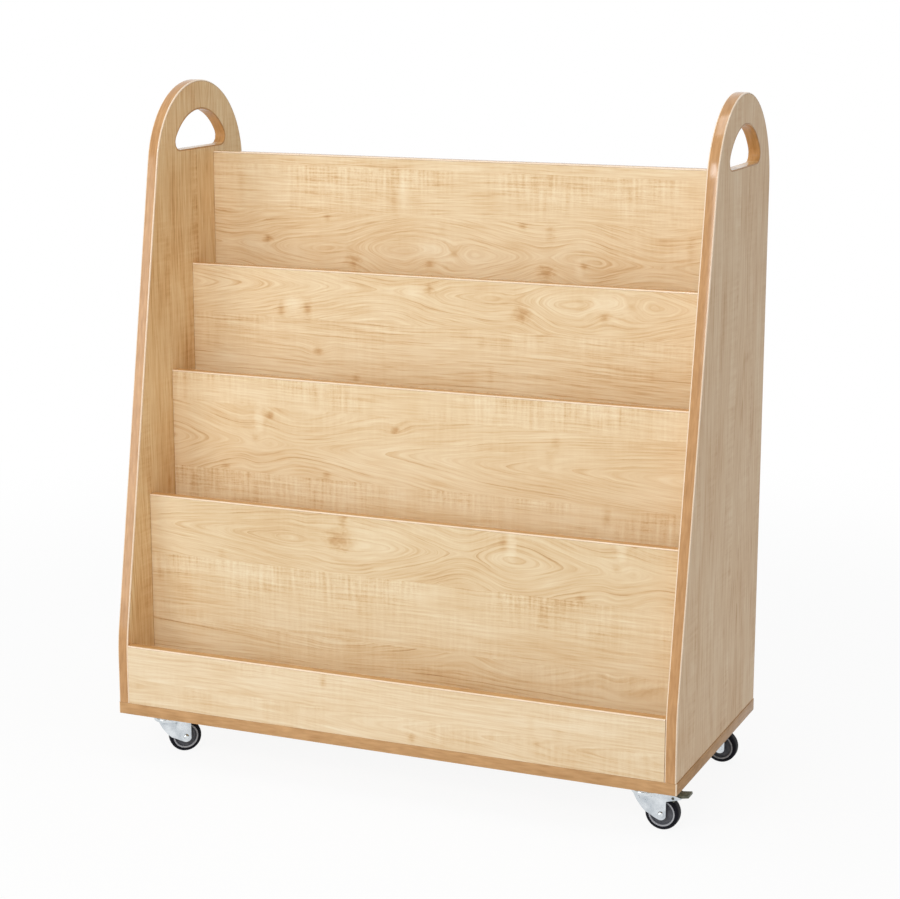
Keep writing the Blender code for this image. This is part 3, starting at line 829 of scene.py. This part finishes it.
@dataclass
class Boards(Joined):
    """The boards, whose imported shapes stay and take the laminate.

    The sheets are drawn at heights for a base board whose underside is drawn_base above the floor.
    """

    drawn_base: float = 0.070
    low: Print = Print(
        0.05,
        (Stave(0.128, 0.118, 0.30, 0.30, 0.15), Stave(0.200, 0.040, 0.35, 0.30, 0.05)),
        ((-0.50, 17.0), (-0.20, 20.0), (0.10, 15.0), (0.50, 9.0)),
        (
            tick(-0.100, 0.170, 0.007),
            tick(0.047, 0.099, 0.005),
            tick(0.238, 0.148, 0.016, 0.12),
            tick(0.280, 0.135, 0.008, 0.10),
        ),
    )
    near: Print = Print(
        0.04,
        (
            Stave(0.211, 0.262, 1.00, 0.30, 0.32),
            Stave(0.316, 0.080, 0.15, 1.00, 0.22),
            Stave(0.425, 0.366, 0.85, 0.10, 0.30),
            Stave(0.480, 0.090, 0.15, 0.95, 0.24),
        ),
        (
            (-0.50, 18.0), (-0.31, 14.0), (-0.165, 11.0), (-0.11, 8.0), (-0.05, 11.0),
            (0.05, 17.0), (0.11, 20.0), (0.165, 13.0), (0.23, 16.0), (0.31, 21.0),
            (0.345, 18.0), (0.41, 23.0), (0.52, 19.0), (0.73, 14.0), (1.10, 6.0),
        ),
        (
            burl(-0.110, 0.371, 0.015),
            tick(-0.103, 0.400, 0.009),
            tick(0.163, 0.395, 0.010),
            pale(0.172, 0.390, 0.008, 0.018),
            eye(0.338, 0.372),
            pale(0.345, 0.404, 0.007, 0.016),
            tick(0.365, 0.413, 0.006),
            tick(0.284, 0.321, 0.005),
            tick(0.463, 0.323, 0.004),
            tick(-0.430, 0.290, 0.020, 0.14),
            tick(0.228, 0.288, 0.014, 0.22),
            burl(0.582, 0.405, 0.005),
            tick(0.846, 0.408, 0.009, 0.20),
            tick(0.836, 0.384, 0.011, 0.14),
            tick(0.928, 0.300, 0.012, 0.24),
            tick(-0.315, 0.326, 0.008, 0.12),
        ),
    )
    far: Print = Print(
        0.02,
        (
            Stave(0.150, 0.080, 0.75, 0.25, 0.28),
            Stave(0.265, 0.500, 0.20, 0.85, 0.22),
            Stave(0.375, 0.322, 0.90, 0.15, 0.30),
            Stave(0.480, 0.120, 0.20, 0.80, 0.24),
            Stave(0.584, 0.300, 0.30, 0.75, 0.34),
            Stave(0.681, 0.480, 0.75, 0.35, 0.28),
            Stave(0.788, 0.733, 0.70, 0.14, 0.30),
            Stave(0.860, 0.300, 0.15, 0.95, 0.20),
            Stave(0.900, 0.320, 0.30, 0.20, 0.24),
        ),
        (
            (-0.50, 8.0), (-0.325, 13.0), (-0.20, 17.0), (-0.09, 20.0), (-0.03, 17.0),
            (0.115, 14.0), (0.20, 11.0), (0.27, 7.0), (0.35, 12.0), (0.45, 17.0),
            (0.51, 13.0), (0.56, 15.0), (0.65, 20.0), (0.80, 13.0),
        ),
        (
            pale(0.274, 0.735, 0.026, 0.015, 0.20),
            Knot(0.272, 0.732, 0.022, 0.016, 0.06, 0.0, 1.1),
            burl(0.262, 0.716, 0.007),
            eye(0.304, 0.733, 0.007),
            burl(0.128, 0.713, 0.010),
            burl(-0.026, 0.740, 0.006),
            tick(-0.283, 0.694, 0.009),
            tick(-0.236, 0.698, 0.011),
            pale(-0.262, 0.705, 0.012, 0.012),
            burl(-0.218, 0.632, 0.006),
            tick(-0.152, 0.594, 0.006, 0.24),
            tick(0.062, 0.662, 0.007, 0.14),
            tick(0.077, 0.615, 0.012, 0.14),
            tick(0.465, 0.772, 0.010, 0.24),
            burl(0.458, 0.712, 0.010),
            burl(0.517, 0.725, 0.006),
            pale(0.512, 0.722, 0.006, 0.009),
            tick(0.285, 0.774, 0.007, 0.14),
            tick(0.082, 0.781, 0.004, 0.24),
            tick(0.418, 0.781, 0.005),
            tick(0.690, 0.758, 0.014, 0.22),
            tick(-0.073, 0.832, 0.022, 0.16),
            pale(0.216, 0.827, 0.010, 0.026, 0.20),
            tick(0.203, 0.824, 0.026, 0.20),
            tick(0.168, 0.840, 0.014, 0.12),
        ),
    )
    ends: Print = Print(
        -0.21,
        (
            Stave(-0.118, -0.300, 0.25, 0.30, 0.24),
            Stave(-0.040, -0.200, 0.35, 0.18, 0.32),
            Stave(0.052, 0.200, 0.25, 0.42, 0.26),
            Stave(0.140, 0.088, 0.55, 0.18, 0.34),
            Stave(0.220, -0.200, 0.25, 0.32, 0.28),
        ),
        ((-0.50, 14.0), (0.05, 10.0), (0.45, 15.0), (0.86, 20.0), (1.10, 15.0)),
        (
            tick(0.420, -0.060, 0.006, 0.14),
            tick(0.655, 0.110, 0.010, 0.18),
            tick(0.250, 0.020, 0.006, 0.14),
            tick(0.530, 0.040, 0.004, 0.16),
        ),
    )

    def build(self) -> None:
        """Dress every board."""
        lift = self.drawn_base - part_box("base_board")[0].z
        for name, sheet, along, across, fine, warmth in (
            ("front_lip", self.low, 0.0, 0.0, 0.46, (0.985, 0.995, 1.03)),
            ("display_panel_1", self.near, 0.0, 0.0, 0.46, (0.972, 0.98, 0.985)),
            ("display_panel_2", self.near, 0.633, -0.126, 0.46, (1.0, 1.0, 1.0)),
            ("display_panel_3", self.far, 0.0, 0.0, 0.66, (1.0, 1.0, 1.0)),
            ("display_panel_4", self.far, 0.320, -0.055, 0.66, (1.0, 1.0, 1.0)),
        ):
            finish = MapleFinish(
                f"maple_{name}", Grain.LEVEL, sheet, (along, across + lift), fine=fine, warmth=warmth
            )
            self.dress(name, finish.material())
        # Both ends share one print; their different tints are painted light: the left end's inner face is
        # warmed as by light bounced off the wood inside the unit, and the right end's outer face is greyed
        # as in shade.
        for side, contrast, warmth in (
            ("left", 1.5, (1.0, 0.915, 0.78)),
            ("right", 1.25, (0.955, 0.886, 0.852)),
        ):
            finish = MapleFinish(
                f"maple_{side}_end", Grain.UPRIGHT, self.ends, (lift, 0.0), contrast=contrast, warmth=warmth
            )
            self.dress(f"{side}_end_panel", finish.material())
        flat = MapleFinish("maple_flat", Grain.DEEP, self.ends).material()
        for name in ("base_board", "pocket_floor_1", "pocket_floor_2", "pocket_floor_3"):
            self.dress(name, flat)


class BandSlot(IntEnum):
    """The material slots of a band."""

    FACE = 0
    CORE = 1
    # Dark painted shade on rounded corners that face the rear or line a hand-hole.
    GLUE_LINE = 2
    # Paler band on a hand-hole's upward ledge: painted top light.
    LEDGE = 3


@dataclass
class EdgeBands(Joined):
    """The plastic bands on the boards' edges, their corners trimmed to a round.

    Attributes:
        trim: The width of a trimmed corner, which shows the band's pale core.
        ease: The width of an edge that is only eased.
        hole_ease: The same round a hand-hole.
        segments: Facets in each round.
        heart: A place well inside an end panel's outline.
        hole: The middle of the hand-holes.
        corners: The materials of the core and of the dark painted shade line.
    """

    trim: float = 0.0019
    ease: float = 0.0005
    hole_ease: float = 0.0007
    segments: int = 4
    heart: Point = (0.0, 0.03, 0.45)
    hole: Point = (0.0, 0.0663, 0.9638)
    corners: Sequence[Material] = ()

    def build(self) -> None:
        """Build and dress every band."""
        even, tall = (240.0, 240.0, 240.0), (300.0, 40.0, 40.0)
        core, glue_line, level, upright, inside, ledge, base = (
            BandFinish(f"band_{name}", *look).material()
            for name, *look in (
                ("core", even, (250, 228, 200), (240, 213, 182), 0.50),
                # This dark colour is painted shade, for corners that face away from the lights.
                ("glue_line", even, (156, 117, 80), (128, 93, 62), 0.10),
                ("level", (14.0, 400.0, 400.0), (213, 167, 111), (186, 139, 86), 0.30),
                ("upright", tall, (206, 156, 103), (179, 130, 79), 0.50),
                ("in_hole", tall, (216, 165, 107), (189, 138, 83), 0.08),
                # A paler copy of the hand-hole band for its upward ledge: painted top light.
                ("hole_ledge", tall, (226, 184, 130), (204, 160, 108), 0.30),
                ("base", (40.0, 40.0, 300.0), (211, 167, 120), (184, 141, 96), 0.015),
            )
        )
        self.corners = (core, glue_line)
        for name in ("front_lip", *(f"display_panel_{n}" for n in range(1, 5))):
            self._trimmed(f"{name}_edge_band", level, (self._on_top, self.trim, BandSlot.CORE))
        for side in ("left", "right"):
            self._trimmed(f"{side}_end_edge_band", upright, (self._outside, self.trim, BandSlot.CORE))
            # The rounded corners round a hand-hole take the dark painted shade, standing in for the shadow
            # in the hole's gap.
            round_hole = (self._in_hole, self.hole_ease, BandSlot.GLUE_LINE)
            self._paint_ledge_light(self._trimmed(f"{side}_handle_edge_band", inside, round_hole), ledge)
        corners = (self._base_corner, self.trim, BandSlot.CORE)
        edges = (self._level, self.ease, BandSlot.FACE)
        self._trimmed("base_edge_band", base, corners, edges)

    @staticmethod
    def _paint_ledge_light(hole: Object, ledge: Material) -> None:
        """Colour the upward flat ledge of a hand-hole paler than the rest of the same band: painted top
        light.
        """
        hole.data.materials.append(ledge)
        for polygon in hole.data.polygons:
            if polygon.material_index == BandSlot.FACE and polygon.normal.z > 0.9:
                polygon.material_index = BandSlot.LEDGE

    def _trimmed(self, node: str, face: Material, *trims: Trim) -> Object:
        """Make one band from its node, with rounded corners.

        Args:
            node: The band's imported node.
            face: The printed face's material.
            trims: For each kind of corner, which edges it takes, its width and its material slot.

        Returns:
            The finished band.
        """
        piece = Bench.copy_of(self.node(node), f"{node}_trimmed")
        for material in (face, *self.corners):
            piece.data.materials.append(material)
        for polygon in piece.data.polygons:
            polygon.material_index = BandSlot.FACE
        for wanted, width, slot in trims:
            Bench.bevel(piece, wanted, width, self.segments, slot)
        # Rounded corners that face the rear take the dark painted shade instead of the pale core, as they
        # face away from the lights.
        for polygon in piece.data.polygons:
            if polygon.material_index == BandSlot.CORE and polygon.normal.y > 0.3:
                polygon.material_index = BandSlot.GLUE_LINE
        Bench.shade(piece)
        self.stand_for(piece, "carcass", "edge_band", node)
        return piece

    @staticmethod
    def _on_top(edge: BMEdge) -> bool:
        """The long upper edges of a straight band."""
        run = edge.verts[1].co - edge.verts[0].co
        upper = any(face.normal.z > 0.9 for face in edge.link_faces)
        return upper and sharp(edge) and abs(run.x) > 0.9 * run.length

    def _turned_to(self, edge: BMEdge, centre: Point, sign: float) -> bool:
        """Whether an edge joins a flat side to a face that looks away from, or to, a centre."""
        if not sharp(edge):
            return False
        flat = any(abs(face.normal.x) > 0.9 for face in edge.link_faces)
        away = middle(edge) - Vector(centre)
        away.x = 0.0
        return flat and any(
            abs(face.normal.x) < 0.1 and sign * face.normal.dot(away) > 0 for face in edge.link_faces
        )

    def _outside(self, edge: BMEdge) -> bool:
        """The outer corners of an end panel's band."""
        level = any(face.normal.z < -0.9 for face in edge.link_faces)
        return not level and self._turned_to(edge, self.heart, 1.0)

    def _in_hole(self, edge: BMEdge) -> bool:
        """The corners round a hand-hole."""
        return self._turned_to(edge, self.hole, -1.0)

    @staticmethod
    def _outward(edge: BMEdge) -> bool:
        """Whether an edge lies on the outside of the base's loop."""
        centre = middle(edge)
        outward = [face.normal.dot(Vector((centre.x, centre.y, 0.0))) for face in edge.link_faces]
        return sharp(edge) and max(outward) > 0.1 and min(outward) > -0.1

    def _base_corner(self, edge: BMEdge) -> bool:
        """The base band's upright outer corners."""
        return self._outward(edge) and all(abs(face.normal.z) < 0.1 for face in edge.link_faces)

    def _level(self, edge: BMEdge) -> bool:
        """The base band's level outer edges, which are only eased."""
        flat = any(abs(face.normal.z) > 0.9 for face in edge.link_faces)
        return flat and self._outward(edge)


@dataclass
class Wheel:
    """The wheel of a castor: tyre, hub and axle, modelled about their own axis along Y."""

    radius: float = 0.0258
    width: float = 0.018
    bore: float = 0.0204
    rim: float = 0.0201
    rim_start: float = 0.0176
    rim_depth: float = 0.0015
    steps: int = 64

    def on_rim(self, spot: Vector) -> bool:
        """Whether a place on the hub lies on its raised rim."""
        return math.hypot(spot.x, spot.z) > self.rim_start and abs(spot.y) > self.width / 2 - self.rim_depth

    def tyre(self) -> Object:
        """Turn the tyre, with a crowned tread and a step on each side wall.

        Returns:
            The tyre.
        """
        half = self.width / 2
        side = [
            (self.bore, half - 0.0004),
            (self.bore + 0.0004, half),
            (self.bore + 0.0018, half),
            (self.bore + 0.0022, half - 0.0004),
            (self.bore + 0.0031, half - 0.0005),
            (self.radius - 0.0012, half - 0.0012),
            (self.radius - 0.0005, half - 0.0024),
            (self.radius - 0.0001, half - 0.0045),
            (self.radius, half - 0.0065),
        ]
        return self._ring("tyre_master", side)

    def hub(self) -> Object:
        """Turn the hub: a boss, a dished web and a raised rim.

        Returns:
            The hub.
        """
        half = self.width / 2
        side = [
            (0.0034, 0.0117),
            (0.0068, 0.0117),
            (0.0075, 0.0110),
            (0.0078, 0.0052),
            (0.0086, 0.0044),
            (0.0136, 0.0040),
            (0.0157, 0.0046),
            (0.0170, 0.0062),
            (self.rim_start, half - 0.0010),
            (0.0180, half - 0.0002),
            (0.0184, half),
            (self.rim - 0.0003, half),
            (self.rim, half - 0.0003),
        ]
        return self._ring("hub_master", side)

    def axle(self) -> Object:
        """Turn the axle rivet, with a domed head at each end.

        Returns:
            The axle.
        """
        seat = 0.0143
        head = [
            (0.0, seat + 0.0026),
            (0.0012, seat + 0.0025),
            (0.0024, seat + 0.0021),
            (0.0035, seat + 0.0015),
            (0.0042, seat + 0.0008),
            (0.0045, seat + 0.0003),
            (0.0044, seat),
            (0.0030, seat),
        ]
        profile = head + [(radius, -place) for radius, place in head[::-1]]
        piece = Bench.spun("axle_master", profile, 32)
        Bench.shade(piece, 40.0)
        return piece

    def _ring(self, name: str, side: Sequence[tuple[float, float]]) -> Object:
        """Turn a ring from one side of its profile and the mirror image of it."""
        mirrored = [(radius, -place) for radius, place in side[::-1]]
        piece = Bench.spun(name, [*side, *mirrored, side[0]], self.steps)
        Bench.shade(piece, 32.0)
        return piece


@dataclass
class Fork:
    """What a pressed fork shows round its crown: a rolled skirt and two curved shoulders.

    Attributes:
        cheek: Where a shoulder ends, as a distance from the wheel's middle plane.
        wall: A shoulder's thickness.
    """

    cheek: float = 0.0105
    wall: float = 0.0012

    def skirt(self) -> Object:
        """Turn the rolled skirt round the fork's crown that covers the ball race.

        Returns:
            The skirt, its axis along Z and its heights from the floor.
        """
        profile = [
            (0.0190, 0.0604),
            (0.0243, 0.0606),
            (0.0249, 0.0598),
            (0.0250, 0.0568),
            (0.0245, 0.0552),
            (0.0233, 0.0545),
            (0.0218, 0.0548),
            (0.0206, 0.0560),
            (0.0198, 0.0580),
            (0.0190, 0.0604),
        ]
        piece = Bench.spun("skirt_master", profile, 64)
        piece.data.transform(Matrix.Rotation(math.pi / 2, 4, "X"))
        Bench.shade(piece, 40.0)
        return piece

    def shoulder(self) -> Object:
        """Turn the hollow curve in which the crown flows into one of the cheeks.

        Returns:
            The shoulder towards -Y, its axis along Z and its heights from the floor.
        """
        outer = [
            (0.0142, 0.0400),
            (0.0144, 0.0430),
            (0.0150, 0.0465),
            (0.0162, 0.0502),
            (0.0180, 0.0538),
            (0.0204, 0.0570),
            (0.0236, 0.0598),
            (0.0240, 0.0606),
        ]
        inner = [(radius - self.wall, place) for radius, place in outer[::-1]]
        piece = Bench.spun("shoulder_master", [*outer, *inner, outer[0]], 72)
        piece.data.transform(Matrix.Rotation(math.pi / 2, 4, "X"))
        Bench.edit(piece)
        cut = {"plane_co": (0, -self.cheek, 0), "plane_no": (0, 1, 0)}
        bpy.ops.mesh.bisect(**cut, use_fill=True, clear_outer=True)
        bpy.ops.mesh.select_all(action="SELECT")
        bpy.ops.mesh.normals_make_consistent(inside=False)
        Bench.shade(piece, 40.0)
        return piece


@dataclass
class Screw:
    """A plate screw: a pan head with a cross recess on a plain shank, standing on its seat at 0."""

    shank: float = 0.0022
    length: float = 0.014
    head: float = 0.004
    height: float = 0.0026
    recess: float = 0.0034
    slot: float = 0.0009
    depth: float = 0.0024

    def build(self) -> Object:
        """Turn the screw and cut its recess.

        Returns:
            The screw, its axis along Z and its head downwards.
        """
        profile = [
            (0.0, -self.height),
            (self.head * 0.45, -self.height + 0.0001),
            (self.head * 0.78, -self.height + 0.0005),
            (self.head * 0.96, -self.height + 0.0014),
            (self.head, -0.0004),
            (self.head - 0.0002, 0.0),
            (self.shank, 0.0),
            (self.shank, self.length - 0.003),
            (0.0, self.length),
        ]
        piece = Bench.spun("screw_master", profile, 24)
        for turn in (0.0, math.pi / 2):
            self._cut(piece, turn)
        piece.data.transform(Matrix.Rotation(math.pi / 2, 4, "X"))
        Bench.shade(piece, 38.0)
        return piece

    def _cut(self, piece: Object, turn: float) -> None:
        """Cut one slot of the cross recess into the head."""
        Bench.clear()
        bpy.ops.mesh.primitive_cube_add(size=1.0, location=(0, -self.height, 0))
        cutter = bpy.context.object
        Bench.edit(cutter)
        size = (self.recess, self.depth, self.slot)
        bpy.ops.transform.resize(value=size, center_override=(0, -self.height, 0))
        Bench.clear()
        cutter.data.transform(Matrix.Translation(cutter.location))
        cutter.location = (0, 0, 0)
        cutter.data.transform(Matrix.Rotation(turn, 4, "Y"))
        cut = piece.modifiers.new("recess", "BOOLEAN")
        cut.object = cutter
        cut.operation = "DIFFERENCE"
        cut.solver = "EXACT"
        bpy.context.view_layer.objects.active = piece
        bpy.ops.object.modifier_apply(modifier=cut.name)
        bpy.data.objects.remove(cutter, do_unlink=True)


@dataclass(frozen=True)
class Pressing:
    """A kind of piece pressed from sheet.

    Attributes:
        kind: The end of its node's name.
        rounding: How far its edges are rounded, in metres.
        slot: The record's material slot, and its finish.
        body: The end of its body's name, or nothing for a piece fixed to the base.
    """

    kind: str
    rounding: float
    slot: str
    body: str = ""


@dataclass
class Castors(Joined):
    """Four plate castors, two of them with a brake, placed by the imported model's own joints."""

    names: tuple[str, ...] = ("front_right", "front_left", "rear_right", "rear_left")
    braked: tuple[str, ...] = ("front_right", "rear_left")
    finishes: dict[str, Material] = field(default_factory=dict)

    def _finishes(self) -> None:
        """Mix the castors' finishes."""
        for name, *look in (
            ("zinc_plate", (226, 231, 235), (190, 197, 203), 0.24, 0.16, 70.0, 900.0, 0.00003, 1.0),
            ("rivet_zinc", (222, 227, 230), (202, 208, 212), 0.13, 0.06, 200.0, 1500.0, 0.00001, 1.0),
            ("screw_steel", (205, 207, 205), (176, 178, 176), 0.34, 0.14, 300.0, 1500.0, 0.00002, 1.0),
            ("tyre_rubber", (13, 13, 19), (22, 22, 30), 0.52, 0.16, 120.0, 2400.0, 0.00003, 0.0, 0.10),
            ("hub_plastic", (84, 85, 91), (104, 105, 111), 0.42, 0.10, 140.0, 2200.0, 0.00002, 0.0, 0.25),
            # The pale rim colour is a painted highlight on the hub's raised rim.
            ("rim_painted_highlight", (176, 177, 182), (158, 159, 164), 0.34, 0.10, 140.0, 2200.0, 0.00002),
            ("lever_paint", (118, 118, 102), (96, 97, 83), 0.44, 0.14, 160.0, 1600.0, 0.00003, 0.0, 0.30),
        ):
            self.finishes[name] = SpeckledFinish(name, *look).material()

    def _joint(self, name: str) -> dict[str, Any]:
        """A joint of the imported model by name."""
        return next(joint for joint in self.frame["joints"] if joint["name"] == name)

    def _stand(self, name: str) -> Matrix:
        """Where a castor's swivel axis meets the floor, turned as its fork is at rest."""
        spot = self._joint(f"{name}_swivel")["pos_m"]
        axle = self._joint(f"{name}_wheel_spin")["axis"]
        turn = math.atan2(-axle[0], axle[1])
        return Matrix.Translation((spot[0], spot[1], 0.0)) @ Matrix.Rotation(turn, 4, "Z")

    def build(self) -> None:
        """Model each kind of piece once, then copy it to every castor."""
        self._finishes()
        wheel, fork = Wheel(), Fork()
        masters: dict[str, Object] = {}
        for key, master, finish in (
            ("tyre", wheel.tyre(), "tyre_rubber"),
            ("hub", wheel.hub(), "hub_plastic"),
            ("axle", wheel.axle(), "rivet_zinc"),
            ("shoulder", fork.shoulder(), "zinc_plate"),
            ("skirt", fork.skirt(), "rivet_zinc"),
            ("screw", Screw().build(), "screw_steel"),
        ):
            master.data.materials.append(self.finishes[finish])
            masters[key] = master
        self._paint_rim_highlight(masters["hub"], wheel)
        for name in self.names:
            self._wheel(name, masters)
            self._screws(name, masters["screw"])
        for pressing, names in self._pressings():
            self._copies(pressing, names)
        for master in masters.values():
            bpy.data.objects.remove(master, do_unlink=True)

    def _paint_rim_highlight(self, hub: Object, wheel: Wheel) -> None:
        """Colour the hub's raised rim pale grey, a painted highlight on its rounded edge."""
        hub.data.materials.append(self.finishes["rim_painted_highlight"])
        for polygon in hub.data.polygons:
            polygon.material_index = int(wheel.on_rim(polygon.center))

    def _wheel(self, name: str, masters: dict[str, Object]) -> None:
        """Copy the tyre, hub and axle, and the fork's skirt and shoulders, to one castor."""
        spot = self._joint(f"{name}_wheel_spin")["pos_m"]
        where = Matrix.Translation(spot) @ self._stand(name).to_3x3().to_4x4()
        for key, body, slot in (
            ("tyre", "wheel", "tyre_rubber"),
            ("hub", "wheel", "hub_plastic"),
            ("axle", "swivel", "zinc_plate"),
        ):
            piece = Bench.placed(masters[key], f"{name}_{key}", where)
            self.stand_for(piece, f"{name}_{body}", slot, f"{name}_castor_{key}")
        for key, label, turn in (
            ("skirt", "fork_skirt", 0.0),
            ("shoulder", "fork_shoulder_near", 0.0),
            ("shoulder", "fork_shoulder_far", math.pi),
        ):
            turned = self._stand(name) @ Matrix.Rotation(turn, 4, "Z")
            piece = Bench.placed(masters[key], f"{name}_{label}", turned)
            self.stand_for(piece, f"{name}_swivel", "zinc_plate")

    def _screws(self, name: str, master: Object) -> None:
        """Copy the screw to one castor's four holes, each turned a little differently."""
        for number in range(1, 5):
            node = f"{name}_castor_screw_{number}"
            low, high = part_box(node)
            seat = low.z + Screw.height
            spot = Matrix.Translation(((low.x + high.x) / 2, (low.y + high.y) / 2, seat))
            turn = Matrix.Rotation(math.radians(37.0 * number), 4, "Z")
            piece = Bench.placed(master, f"{name}_screw_{number}", spot @ turn)
            self.stand_for(piece, "carcass", "screw_steel", node)

    def _pressings(self) -> Iterator[tuple[Pressing, tuple[str, ...]]]:
        """Each kind of pressed piece with the castors that have it."""
        plain = tuple(name for name in self.names if name not in self.braked)
        yield Pressing("castor_plate", 0.0005, "zinc_plate"), self.names
        fork = Pressing("castor_fork", 0.0005, "zinc_plate", "_swivel")
        yield fork, plain
        yield fork, self.braked
        yield Pressing("brake_lever", 0.0006, "lever_paint", "_brake"), self.braked

    def _copies(self, pressing: Pressing, names: tuple[str, ...]) -> None:
        """Round a pressed piece's edges on one castor and copy it to the others.

        Args:
            pressing: The kind of piece.
            names: The castors that have it.
        """
        source = names[0]
        master = Bench.copy_of(self.node(f"{source}_{pressing.kind}"), "pressed_master")
        master.data.materials.append(self.finishes[pressing.slot])
        Bench.bevel(master, sharp, pressing.rounding, 2)
        Bench.shade(master, 35.0)
        for name in names:
            if pressing.body:
                move = self._stand(name) @ self._stand(source).inverted()
            else:
                there, here = (Vector(self._joint(f"{end}_swivel")["pos_m"]) for end in (name, source))
                move = Matrix.Translation(there - here)
            piece = Bench.placed(master, f"{name}_{pressing.kind}_pressed", move)
            body = name + pressing.body if pressing.body else "carcass"
            self.stand_for(piece, body, pressing.slot, f"{name}_{pressing.kind}")
        bpy.data.objects.remove(master, do_unlink=True)


@dataclass
class Studio:
    """Pale floor, soft lights, white surround and the camera.

    Attributes:
        eye: Where the camera stands.
        pitch: How far it looks down, in degrees.
        yaw: How far it looks to the left, in degrees.
        focal_pixels: Its focal length in pixels of the picture.
        sensor: The sensor's width, in millimetres.
        sight: How far the camera sees.
        surround: The strength of the light from all round.
        floor_side: The floor's width and depth.
        floor_pale: The floor's own colour where the camera sees it.
        bounce: Its colour for the light that it throws back.
        white_share: How much of plain white it shows near the object.
        fade: From and to which distance that share rises to the whole.
    """

    eye: Point = (1.3299, -3.0686, 1.2386)
    pitch: float = 12.447
    yaw: float = 23.084
    focal_pixels: float = 2205.5
    sensor: float = 36.0
    sight: float = 400.0
    surround: float = 0.535
    floor_side: float = 300.0
    floor_pale: float = 0.92
    bounce: float = 0.75
    white_share: float = 0.91
    fade: tuple[float, float] = (0.9, 2.4)

    def build(self) -> None:
        """Set up everything that isn't part of the object."""
        self._camera()
        self._world()
        self._floor()
        self._softbox("key_softbox", (-0.45, -3.05, 2.45), (0.0, 0.0, 0.55), (0.8, 0.8), 21.5)
        self._softbox("side_softbox", (-2.1, -3.0, 1.0), (0.0, 0.0, 0.55), (1.5, 1.6), 20.0)
        self._softbox("fill_softbox", (0.40, -3.2, 1.9), (0.0, 0.0, 0.60), (0.9, 1.2), 22.0)
        self._softbox("top_softbox", (0.0, -0.2, 3.2), (0.0, 0.0, 0.60), (0.9, 1.2), 12.0)
        bpy.context.scene.view_settings.view_transform = "Standard"

    def _camera(self) -> None:
        """Place the camera as the fitted view has it."""
        lens = bpy.data.cameras.new("camera")
        lens.sensor_fit = "HORIZONTAL"
        lens.sensor_width = self.sensor
        lens.lens = self.focal_pixels * self.sensor / PICTURE_WIDTH
        lens.clip_end = self.sight
        camera = bpy.data.objects.new("camera", lens)
        camera.location = self.eye
        camera.rotation_euler = (math.radians(90 - self.pitch), 0.0, math.radians(self.yaw))
        bpy.context.scene.collection.objects.link(camera)
        bpy.context.scene.camera = camera

    def _world(self) -> None:
        """White where the camera, gloss and glass look, and a softer light elsewhere."""
        graph = Graph("surround", surround=True)
        graph.set(Color=(0.97, 0.985, 1.0, 1.0), Strength=self.surround)
        white = graph.node("ShaderNodeBackground", None, {"Color": (1.0, 1.0, 1.0, 1.0), "Strength": 1.0})
        graph.shade_by(graph.seen(), white)
        bpy.context.scene.world = graph.material

    def _floor(self) -> None:
        """A wide pale floor that shows white but keeps a trace of the object's shadow."""
        Bench.clear()
        bpy.ops.mesh.primitive_plane_add(size=1.0, location=(0, 0, 0))
        floor = bpy.context.object
        floor.name = "studio_floor"
        Bench.edit(floor)
        bpy.ops.mesh.subdivide(number_cuts=2)
        size = (self.floor_side, self.floor_side, 1.0)
        bpy.ops.transform.resize(value=size, center_override=(0, 0, 0))
        Bench.clear()
        graph = Graph("floor_white")
        x, y, _ = graph.place()
        far = ((x * x + y * y) ** 0.5).ease(*self.fade)
        seen = graph.seen()
        thrown, shown = ((*[grey] * 3, 1.0) for grey in (self.bounce, self.floor_pale))
        graph.set(Base_Color=graph.mix(seen, thrown, shown), Roughness=0.9, Specular_IOR_Level=0.0)
        glow = graph.node("ShaderNodeEmission", None, {"Color": (1.0, 1.0, 1.0, 1.0), "Strength": 1.0})
        graph.shade_by(seen * (self.white_share + far * (1.0 - self.white_share)), glow)
        floor.data.materials.append(graph.material)

    @staticmethod
    def _softbox(name: str, place: Point, target: Point, size: tuple[float, float], power: float) -> None:
        """Hang a rectangular soft light that faces a point.

        Args:
            name: The light's name.
            place: Where it hangs.
            target: The point that it faces.
            size: Its width and height, in metres.
            power: Its power in watts.
        """
        lamp = bpy.data.lights.new(name, "AREA")
        lamp.shape = "RECTANGLE"
        lamp.size, lamp.size_y = size
        lamp.energy = power
        light = bpy.data.objects.new(name, lamp)
        light.location = place
        light.rotation_euler = (Vector(target) - Vector(place)).to_track_quat("-Z", "Y").to_euler()
        bpy.context.scene.collection.objects.link(light)


def main() -> None:
    """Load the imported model, dress it and set up the studio."""
    logging.basicConfig(level=logging.INFO, format="%(message)s")
    for left_over in list(bpy.data.objects):
        bpy.data.objects.remove(left_over, do_unlink=True)
    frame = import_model()
    Boards(frame).build()
    EdgeBands(frame).build()
    Castors(frame).build()
    Studio().build()


if __name__ == "__main__":
    main()
